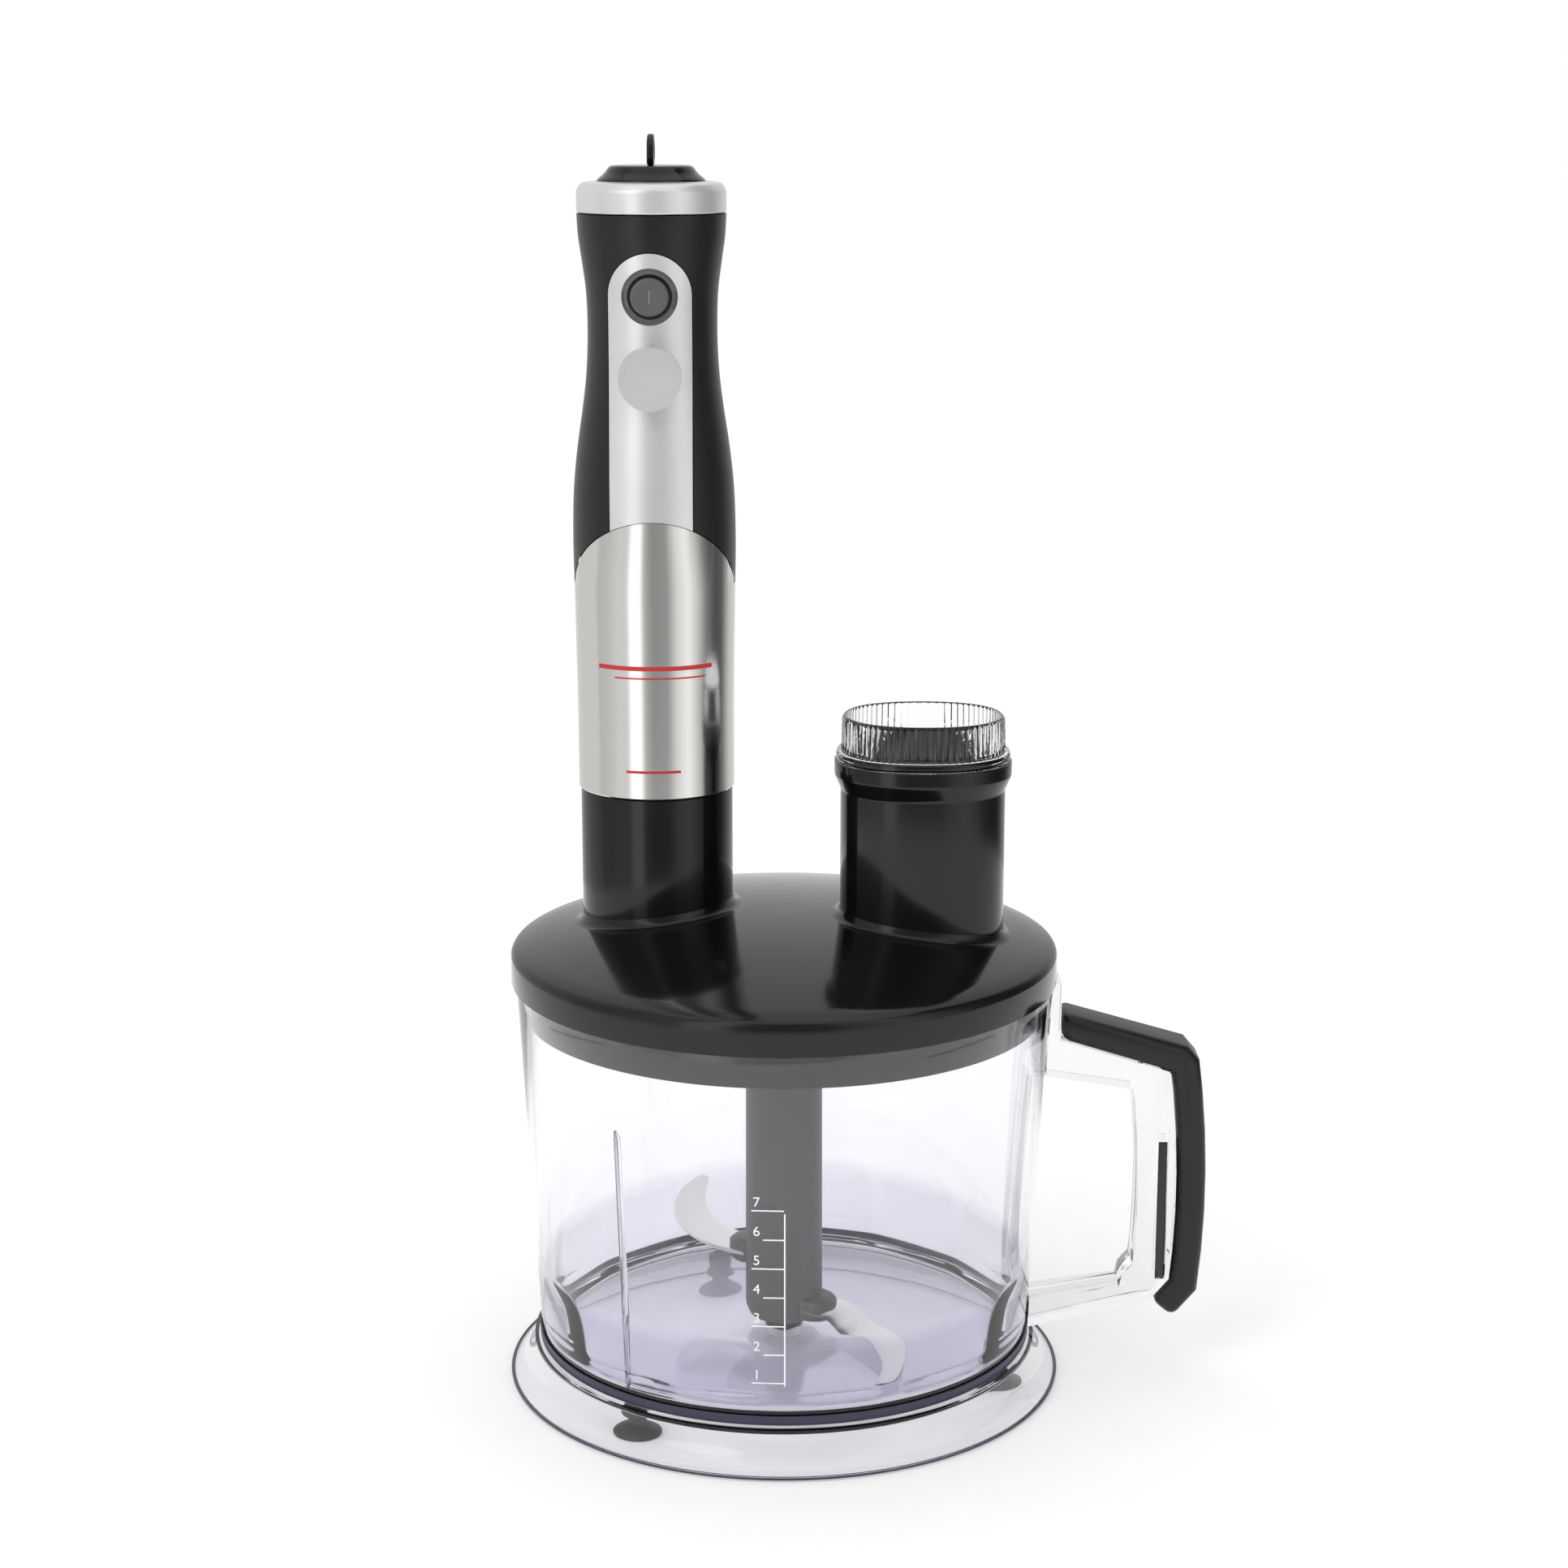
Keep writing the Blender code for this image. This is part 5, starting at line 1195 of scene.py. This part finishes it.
@dataclass
class Pusher:
    """The clear food pusher: hollow cup, flange and ribbed cap."""

    palette: Palette
    half_width: float = 29.2
    half_depth: float = 25.0
    bottom: float = 141.0
    flange_bottom: float = 230.5
    flange_top: float = 233.3
    top: float = 245.9
    chute_wall: float = 2.2
    gap: float = 0.6
    wall: float = 1.8
    ribs: int = 72
    rib_depth: float = 0.55

    def build(self) -> None:
        """Make and dress the pusher."""
        axis = middle("feed_chute")
        tube = -self.chute_wall - self.gap
        steps = self.ribs * 4
        outline: list[tuple[float, float, float]] = [
            (tube - 2.0, self.bottom, 0), (tube - 0.4, self.bottom + 0.2, 0), (tube, self.bottom + 1.2, 0),
            (tube, self.flange_bottom - 0.2, 0), (1.2, self.flange_bottom, 0),
            (1.6, self.flange_bottom + 0.6, 0),
            (1.6, self.flange_top - 0.6, 0), (1.1, self.flange_top, 0), (0.0, self.flange_top + 0.1, 0),
            (-0.2, self.flange_top + 0.6, 1), (-0.45, self.top - 1.4, 1), (-0.9, self.top - 0.5, 0.6),
            (-1.6, self.top, 0), (-self.wall - 0.5, self.top, 0), (-self.wall - 0.6, self.top - 0.6, 0),
            (-self.wall - 0.6, self.flange_top - 0.6, 0), (tube - self.wall, self.flange_top - 2.4, 0),
            (tube - self.wall, self.bottom + 3.0, 0), (tube - self.wall - 1.4, self.bottom + 1.8, 0)]
        rings = []
        for inset, height, ribbed in outline:
            ring = oval(self.half_width + inset, self.half_depth + inset, height, steps)
            scale = self.rib_depth * ribbed / self.half_width
            rings.append([(x * (1 - scale * (i % 4 // 2)), y * (1 - scale * (i % 4 // 2)), z)
                          for i, (x, y, z) in enumerate(ring)])
        cup = loft("pusher-cup", rings, axis, Turn.SOLID)
        finish_piece(cup, self.palette.tinted, "pusher", "pusher")


# ------------------------------------------------------------------ motor unit

@dataclass
class MotorUnit:
    """The stick: steel sleeve, waisted black grip, silver panel, ring, cap, loop and plug."""

    palette: Palette
    sleeve_bottom: float = 217.4
    sleeve_radius: float = 27.9
    sleeve_wall: float = 1.3
    arch_corner: float = 291.0
    arch_top: float = 315.3
    body_bottom: float = 223.0
    body_wall: float = 2.4
    inner_radius: float = 24.0
    outline: tuple[Point2, ...] = (
        (28.5, 291.0), (28.7, 307.0), (28.2, 324.0), (26.7, 338.6), (24.6, 352.8), (23.2, 364.7),
        (22.6, 378.0), (22.9, 391.8), (24.3, 403.2), (25.4, 411.0), (25.9, 418.9))
    panel_half: float = 14.3
    panel_top: float = 406.4
    panel_bottom: float = 298.0
    proud: float = 0.5
    ring_bottom: float = 419.2
    ring_top: float = 429.0
    ring_radius: float = 25.9
    cap_radius: float = 18.8
    cap_top_radius: float = 13.7
    cap_top: float = 435.2
    loop_top: float = 445.7
    loop_radius: float = 7.0
    loop_eye: float = 3.2
    loop_thickness: float = 2.4
    plug_bottom: float = 183.0
    plug_radius: float = 24.0
    buttons: tuple[tuple[str, float, float, float, int], ...] = (
        ("low", 391.8, 6.55, 7.7, 1), ("high", 364.7, 7.5, 8.8, 2))
    dish: float = 1.95
    dish_depth: float = 1.2
    stripes: tuple[tuple[float, float, float, float], ...] = (
        (263.6, 1.5, 44.0, 2.0), (260.6, 0.5, 34.0, 6.0), (227.0, 0.9, 20.0, 0.0))
    stripe_flare: float = 245.0
    bar_pitch: float = 1.7
    bar_half: Point2 = (0.38, 2.3)
    steps: int = 128

    def __post_init__(self) -> None:
        """Find the motor's axis and smooth the grip's outline."""
        self.axis = middle("lower_sleeve")
        self.curve = catmull(self.outline, 5)

    def grip_radius(self, height: float) -> float:
        """Radius of the grip at a height.

        Args:
            height: Height above the table.

        Returns:
            The radius.
        """
        if height <= self.curve[0][1]:
            return self.curve[0][0]
        for (r0, z0), (r1, z1) in zip(self.curve, self.curve[1:]):
            if height <= z1:
                return r0 + (r1 - r0) * (height - z0) / (z1 - z0)
        return self.curve[-1][0]

    def skin(self, name: str, proud: float, low: float, high: float) -> Piece:
        """A shell that follows the grip between two heights.

        Args:
            name: The piece's name.
            proud: How far its outside stands off the grip.
            low: Its lower end.
            high: Its upper end.

        Returns:
            The shell.
        """
        heights = [low] + [z for _, z in self.curve if low + 0.5 < z < high - 0.5] + [high]
        outer = [(self.grip_radius(z) + proud, z) for z in heights]
        inner = [(min(self.grip_radius(z) - self.body_wall, self.inner_radius), z) for z in reversed(heights)]
        return lathe(name, outer + inner, self.axis, self.steps)

    def arch(self, gap: float) -> Piece:
        """Everything under the sleeve's arched top edge.

        Args:
            gap: Clearance added over the edge.

        Returns:
            A solid to cut or intersect with.
        """
        side, corner = self.sleeve_radius + 10, self.arch_corner + gap
        rise = self.arch_top - self.arch_corner
        turns = [math.pi * i / 64 for i in range(65)]
        curve = [((self.sleeve_radius + gap) * math.cos(a), corner + rise * math.sin(a)) for a in turns]
        outline = [(-side, corner), (-side, self.sleeve_bottom - 5), (side, self.sleeve_bottom - 5),
                   (side, corner)] + curve
        return prism("arch", outline, -side, side, self.axis, "Y")

    def sleeve_space(self) -> Piece:
        """The room that the sleeve takes from what stands inside it."""
        room = self.sleeve_radius - self.sleeve_wall - 0.3
        core = lathe("core", [(0, 200), (room, 200), (room, 330), (0, 330)], self.axis, self.steps)
        return combine(self.arch(0.3), core, "DIFFERENCE")

    def panel_prism(self, gap: float) -> Piece:
        """The panel's outline carried through the front of the grip.

        Args:
            gap: Clearance added round the panel.

        Returns:
            A solid to cut or intersect with.
        """
        half = self.panel_half + gap
        top = arc((0, self.panel_top - self.panel_half), half, 0, 180, 40)
        outline = [(-half, self.panel_bottom - gap), (half, self.panel_bottom - gap)] + top
        return prism("panel-outline", outline, -40, -0.15, self.axis, "Y")

    def grip(self) -> None:
        """The two black halves of the grip."""
        space = self.sleeve_space()
        for side, low, high in (("front", -40.0, -0.15), ("rear", 0.15, 40.0)):
            shell = self.skin(f"grip-{side}", 0.0, self.body_bottom, self.outline[-1][1])
            half = prism("half", [(-40, low), (40, low), (40, high), (-40, high)], 200, 440, self.axis)
            combine(shell, half, "INTERSECT")
            room = space.copy()
            room.data = space.data.copy()
            bpy.context.scene.collection.objects.link(room)
            combine(shell, room, "DIFFERENCE")
            if side == "front":
                combine(shell, self.panel_prism(0.3), "DIFFERENCE")
            finish_piece(shell, self.palette.satin, "motor_unit", f"handle_shell_{side}")
        bpy.data.objects.remove(space)

    def face_front(self, piece: Piece, height: float) -> Piece:
        """Turn a piece made about +Z at the world's origin to face the front, at a height.

        Args:
            piece: The piece to turn.
            height: Height of its axis once turned.

        Returns:
            The piece.
        """
        piece.data.transform(Matrix.Translation(self.axis + Vector((0, 0, height * MM)))
                             @ Matrix.Rotation(math.radians(90), 4, "X"))
        return piece

    def ring_front(self, radius: float, height: float, off: float) -> list[Point3]:
        """A ring round a button's axis that follows the panel's curve, stood off it by a distance.

        Args:
            radius: Radius of the ring.
            height: Height of the button's axis.
            off: Distance forward of the panel's face.

        Returns:
            The ring's points.
        """
        ring = []
        for i in range(72):
            turn = 2 * math.pi * i / 72
            x, z = radius * math.cos(turn), height + radius * math.sin(turn)
            skin = self.grip_radius(z) + self.proud
            ring.append((x, -math.sqrt(skin * skin - x * x) - off, z))
        return ring

    def dish_rings(self, hole: float, height: float, off: float) -> list[list[Point3]]:
        """The sloping dish round a button, from its hole to its rim.

        Args:
            hole: Radius of the hole.
            height: Height of the button's axis.
            off: Distance forward of the dish's face.

        Returns:
            The dish's rings, from the hole outwards.
        """
        return [self.ring_front(hole, height, off - self.dish_depth),
                self.ring_front(hole + self.dish * 0.55, height, off - self.dish_depth * 0.75),
                self.ring_front(hole + self.dish, height, off * 0.4)]

    def panel(self) -> None:
        """The silver panel, cut by a dish for each button, with a darker grey sheet laid in each dish as
        painted shade.

        Known fault: a drum is left on the panel, over the hole for the high speed button.
        """
        panel = self.skin("front-panel", self.proud, self.panel_bottom, self.panel_top + 1)
        combine(panel, self.panel_prism(0), "INTERSECT")
        combine(panel, self.sleeve_space(), "DIFFERENCE")
        for name, height, _, hole, _ in self.buttons:
            far = [self.ring_front(hole + self.dish, height, 8.0)]
            cutter = loft("dish", [self.ring_front(hole, height, -self.dish_depth - 9.0)]
                          + self.dish_rings(hole, height, 0.0) + far, self.axis, Turn.SOLID)
            combine(panel, cutter, "DIFFERENCE")
            # A thin darker grey sheet over the dish's slope: painted shade in the recess round the button.
            section = self.dish_rings(hole, height, 0.12) + self.dish_rings(hole, height, 0.01)[::-1]
            finish_piece(loft(f"{name}-button-bezel", section, self.axis), self.palette.bezel, "motor_unit")
        finish_piece(bevel(panel, 0.35, 2, 55), self.palette.silver, "motor_unit", "front_panel")

    def sleeve(self) -> None:
        """The polished sleeve with its arched top edge."""
        inner, flared = self.sleeve_radius - self.sleeve_wall, self.outline[0][0]
        profile = [(inner, self.sleeve_bottom), (self.sleeve_radius - 0.3, self.sleeve_bottom),
                   (self.sleeve_radius, self.sleeve_bottom + 0.4),
                   (self.sleeve_radius, self.sleeve_bottom + 30),
                   (self.sleeve_radius + 0.3, 270), (flared, self.arch_corner),
                   (flared, self.arch_top + 1), (inner, self.arch_top + 1)]
        sleeve = lathe("sleeve", profile, self.axis, 160)
        combine(sleeve, self.arch(0), "INTERSECT")
        finish_piece(bevel(sleeve, 0.25, 2, 60), self.palette.steel, "motor_unit", "lower_sleeve")

    def pinstripes(self) -> None:
        """Plain red bands on the sleeve, level with each other."""
        for number, (height, tall, spread, shift) in enumerate(self.stripes, start=1):
            rings = []
            for i in range(29):
                turn = math.radians(270 + shift - spread + 2 * spread * i / 28)
                radius = self.sleeve_radius + (0.32 if height > self.stripe_flare else 0.0)
                rings.append([(r * math.cos(turn), r * math.sin(turn), z) for r, z in (
                    (radius - 0.1, height), (radius + 0.12, height), (radius + 0.12, height + tall),
                    (radius - 0.1, height + tall))])
            stripe = loft(f"pinstripe-{number}", rings, self.axis, Turn.SOLID)
            finish_piece(stripe, self.palette.print_red, "motor_unit")

    def top(self) -> None:
        """The silver ring, the black cap and the hanging loop."""
        radius, high, hole = self.ring_radius, self.ring_top, self.cap_radius + 0.3
        inside = radius - 2.4
        profile = rounded([(inside, self.ring_bottom), (radius, self.ring_bottom), (radius, high - 2.2),
                           (radius - 1.6, high + 0.3), (hole, high + 1.0), (hole, high - 1.5),
                           (inside, high - 2)], 0.9, 4)
        ring = lathe("top-ring", profile, self.axis, 144)
        finish_piece(ring, self.palette.silver, "motor_unit", "top_ring")
        rise = self.cap_top - high
        dome = catmull([(self.cap_radius, high + 0.9), (self.cap_radius - 0.4, high + 1.6),
                        (self.cap_radius - 2.6, high + 0.56 * rise),
                        (self.cap_top_radius + 0.6, high + 0.93 * rise),
                        (self.cap_top_radius - 1.2, self.cap_top)], 5)
        wall, plug = 2.4, self.ring_bottom + 2
        profile = [(0.0, self.cap_top - wall), (self.cap_top_radius - 1, self.cap_top - wall),
                   (self.cap_radius - wall, high), (self.cap_radius - wall, plug), (self.cap_radius, plug)]
        cap = lathe("top-cap", profile + dome + [(0.0, self.cap_top)], self.axis, 112)
        finish_piece(cap, self.palette.gloss, "motor_unit", "top_cap")
        centre, base = self.loop_top - self.loop_radius, self.cap_top + 0.02
        lean = math.degrees(math.asin((centre - base) / self.loop_radius))
        outline = arc((0, centre), self.loop_radius, -lean, 180 + lean, 44)
        half = self.loop_thickness / 2
        loop = prism("hanging-loop", outline, -half, half, self.axis, "X")
        eye_height = self.cap_top + 0.3 + 1.5 + self.loop_eye
        eye = prism("eye", arc((0, eye_height), self.loop_eye, 0, 351, 39), -5, 5, self.axis, "X")
        combine(loop, eye, "DIFFERENCE")
        finish_piece(bevel(loop, 0.8, 4, 50), self.palette.gloss, "motor_unit", "hanging_loop")

    def plug(self) -> None:
        """The plug below the sleeve, open underneath round the drive."""
        outside, inside = self.plug_radius, self.plug_radius - 2.4
        shoulder, top = self.sleeve_bottom + 0.3, self.body_bottom - 0.3
        room = self.sleeve_radius - self.sleeve_wall - 0.3
        profile = rounded([(3.5, shoulder + 1), (inside, shoulder + 1), (inside, self.plug_bottom),
                           (outside, self.plug_bottom), (outside, shoulder), (room, shoulder), (room, top),
                           (3.5, top)], 0.5, 3)
        plug = lathe("plug", profile, self.axis, 96)
        finish_piece(plug, self.palette.inner, "motor_unit", "coupling_housing")

    def push_button(self, name: str, height: float, face: float, bars: int) -> None:
        """A round button with a dished face and raised bars for its speed.

        Args:
            name: Low or high.
            height: Height of its centre.
            face: Radius of its face.
            bars: How many bars it carries.
        """
        node = f"{name}_speed_button"
        low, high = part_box(node)
        tip, front = (self.axis.y - high.y) / MM, (self.axis.y - low.y) / MM
        back = tip + 0.8
        flange = face + 2.0
        dished = [(face * s, front - 0.75 * (1 - s) ** 0.8 * (1 - s)) for s in (0.84, 0.7, 0.5, 0.3, 0.15)]
        profile = [(0, tip), (1.5, tip), (1.5, back), (flange, back), (flange, back + 1.5),
                   (face, back + 1.5)]
        profile += arc((face - 0.9, front - 0.9), 0.9, 0, 88, 8) + dished + [(0, front - 0.72)]
        button = self.face_front(lathe(f"{name}-button", profile, Vector(), 72), height)
        finish_piece(button, self.palette.button, f"{name}_button", node)
        for number in range(bars):
            shift = (number - (bars - 1) / 2) * self.bar_pitch
            y = -front + 0.35
            wide, tall = self.bar_half
            outline = rounded([(shift - wide, height - tall), (shift + wide, height - tall),
                               (shift + wide, height + tall), (shift - wide, height + tall)], 0.3, 3)
            # The bars stand proud of the button's face; their lighter grey is a painted highlight.
            bar = prism(f"{name}-button-bar-{number + 1}", outline, y, y + 0.6, self.axis, "Y")
            finish_piece(bar, self.palette.mark, f"{name}_button")

    def build(self) -> None:
        """Make and dress the motor unit's outside."""
        self.sleeve()
        self.pinstripes()
        self.grip()
        self.panel()
        self.top()
        self.plug()
        for name, height, face, _, bars in self.buttons:
            self.push_button(name, height, face, bars)


# ------------------------------------------------------------------ set

@dataclass
class Stage:
    """The pale floor, the soft lights, what shiny surfaces reflect, and the camera, in metres."""

    camera_place: Point3 = (-0.0263, -1.0369, 0.4589)
    camera_pitch: float = 76.88
    lens: float = 68.70
    shift: float = 0.0048
    floor_radius: float = 9.0
    floor_glow: float = 0.10
    key_place: Point3 = (-1.0, -1.1, 1.5)
    key_aim: Point3 = (0.0, 0.0, 0.2)
    key_size: float = 1.1
    key_power: float = 6.0
    liner_radius: float = 0.72
    liner_height: float = 1.5

    def floor(self) -> None:
        """A wide round floor, near white."""
        ring = circle(self.floor_radius / MM, 0.0, 64)
        floor = add_object("floor", ring, [tuple(range(len(ring)))], Vector((0, 0, -0.0002)))
        surface = Finish("floor", (0.94, 0.94, 0.943), 0.75, drift=0.01, depth=0.001).material()
        shader = surface.node_tree.nodes["Principled BSDF"]
        shader.inputs["Emission Color"].default_value = (1.0, 1.0, 1.0, 1.0)
        shader.inputs["Emission Strength"].default_value = self.floor_glow
        floor.data.materials.append(surface)

    def world(self) -> None:
        """Even white light from all round."""
        world = bpy.data.worlds.new("white room")
        world.use_nodes = True
        shade = world.node_tree.nodes["Background"]
        shade.inputs["Color"].default_value = (1.0, 1.0, 1.0, 1.0)
        shade.inputs["Strength"].default_value = 1.0
        bpy.context.scene.world = world

    def liner(self) -> None:
        """A dark screen with soft bright bands, seen only by reflections."""
        steps = 96
        rings = [circle(self.liner_radius / MM, z, steps) for z in (-1.0, self.liner_height / MM)]
        points = rings[0] + rings[1]
        faces = [(i, (i + 1) % steps, steps + (i + 1) % steps, steps + i) for i in range(steps)]
        liner = add_object("reflection-screen", points, faces, Vector())
        graph = Graph("reflection screen")
        node = graph.tree.nodes.new("ShaderNodeTexCoord")
        parts = graph.tree.nodes.new("ShaderNodeSeparateXYZ")
        graph.feed(parts.inputs[0], node.outputs["Object"])
        angle = graph.add("ShaderNodeMath", {0: parts.outputs["Y"], 1: parts.outputs["X"]},
                          operation="ARCTAN2")
        share = graph.add("ShaderNodeMapRange", {"Value": angle, "From Min": -math.pi, "From Max": math.pi,
                                                 "To Min": 0.0, "To Max": 1.0})
        ramp = graph.tree.nodes.new("ShaderNodeValToRGB")
        graph.feed(ramp.inputs["Fac"], share)
        self.bands(ramp.color_ramp)
        glow = graph.tree.nodes.new("ShaderNodeEmission")
        graph.feed(glow.inputs["Color"], ramp.outputs["Color"])
        graph.feed(glow.inputs["Strength"], 1.0)
        output = graph.tree.nodes["Material Output"]
        graph.feed(output.inputs["Surface"], glow.outputs[0])
        liner.data.materials.append(graph.material)
        liner.visible_camera = liner.visible_diffuse = liner.visible_transmission = False
        liner.visible_shadow = liner.visible_volume_scatter = False

    def bands(self, ramp: bpy.types.ColorRamp) -> None:
        """Set the screen's brightness by direction, from behind on the left round by the front.

        Args:
            ramp: The ramp that carries the brightness.
        """
        stops = ((0.00, 0.55), (0.045, 0.60), (0.090, 0.72), (0.128, 0.70), (0.146, 1.50), (0.176, 1.50),
                 (0.196, 0.48), (0.230, 0.30), (0.290, 0.34), (0.330, 0.80), (0.380, 1.05), (0.43, 0.60),
                 (0.470, 0.22), (0.52, 0.08), (0.57, 0.12), (0.63, 0.60), (0.75, 0.85), (0.88, 0.70))
        while len(ramp.elements) > 1:
            ramp.elements.remove(ramp.elements[-1])
        for number, (place, tone) in enumerate(stops):
            element = ramp.elements[0] if number == 0 else ramp.elements.new(place)
            element.position = place
            element.color = (tone, tone * 0.99, tone * 0.975, 1.0)

    def lights(self) -> None:
        """A large soft key from the upper left."""
        data = bpy.data.lights.new("key", "AREA")
        data.shape = "DISK"
        data.size = self.key_size
        data.energy = self.key_power
        key = bpy.data.objects.new("key", data)
        key.location = self.key_place
        aim = Vector(self.key_aim) - Vector(key.location)
        key.rotation_euler = aim.to_track_quat("-Z", "Y").to_euler()
        bpy.context.scene.collection.objects.link(key)

    def camera(self) -> None:
        """The view from the front, a little above."""
        data = bpy.data.cameras.new("front")
        data.lens = self.lens
        data.sensor_width = 36.0
        data.shift_y = self.shift
        data.dof.use_dof = False
        camera = bpy.data.objects.new("front", data)
        camera.location = self.camera_place
        camera.rotation_euler = (math.radians(self.camera_pitch), 0.0, 0.0)
        bpy.context.scene.collection.objects.link(camera)
        bpy.context.scene.camera = camera
        bpy.context.scene.view_settings.view_transform = "Standard"

    def build(self) -> None:
        """Set the stage."""
        self.floor()
        self.world()
        self.liner()
        self.lights()
        self.camera()


def dress_kept_nodes(palette: Palette) -> int:
    """Give every CAD piece that stays in view its finish, by the slot it carries.

    Args:
        palette: The materials.

    Returns:
        How many slots were dressed.
    """
    finishes, dressed = palette.by_slot(), 0
    for node in frame["nodes"].values():
        for slot in node.material_slots:
            name = slot.material.name.split(".")[0] if slot.material else ""
            if name in finishes:
                slot.material = finishes[name]
                dressed += 1
    return dressed


def main() -> None:
    """Build every sub-assembly, set the stage and report."""
    logging.basicConfig(level=logging.INFO, format="%(name)s: %(message)s")
    palette = Palette()
    LOG.info("dressed %d slots", dress_kept_nodes(palette))
    for assembly in (Base(palette), Bowl(palette), Handle(palette), Knife(palette), Lid(palette),
                     Pusher(palette), MotorUnit(palette)):
        assembly.build()
        LOG.info("built %s", type(assembly).__name__)
    Stage().build()


if __name__ == "__main__":
    main()
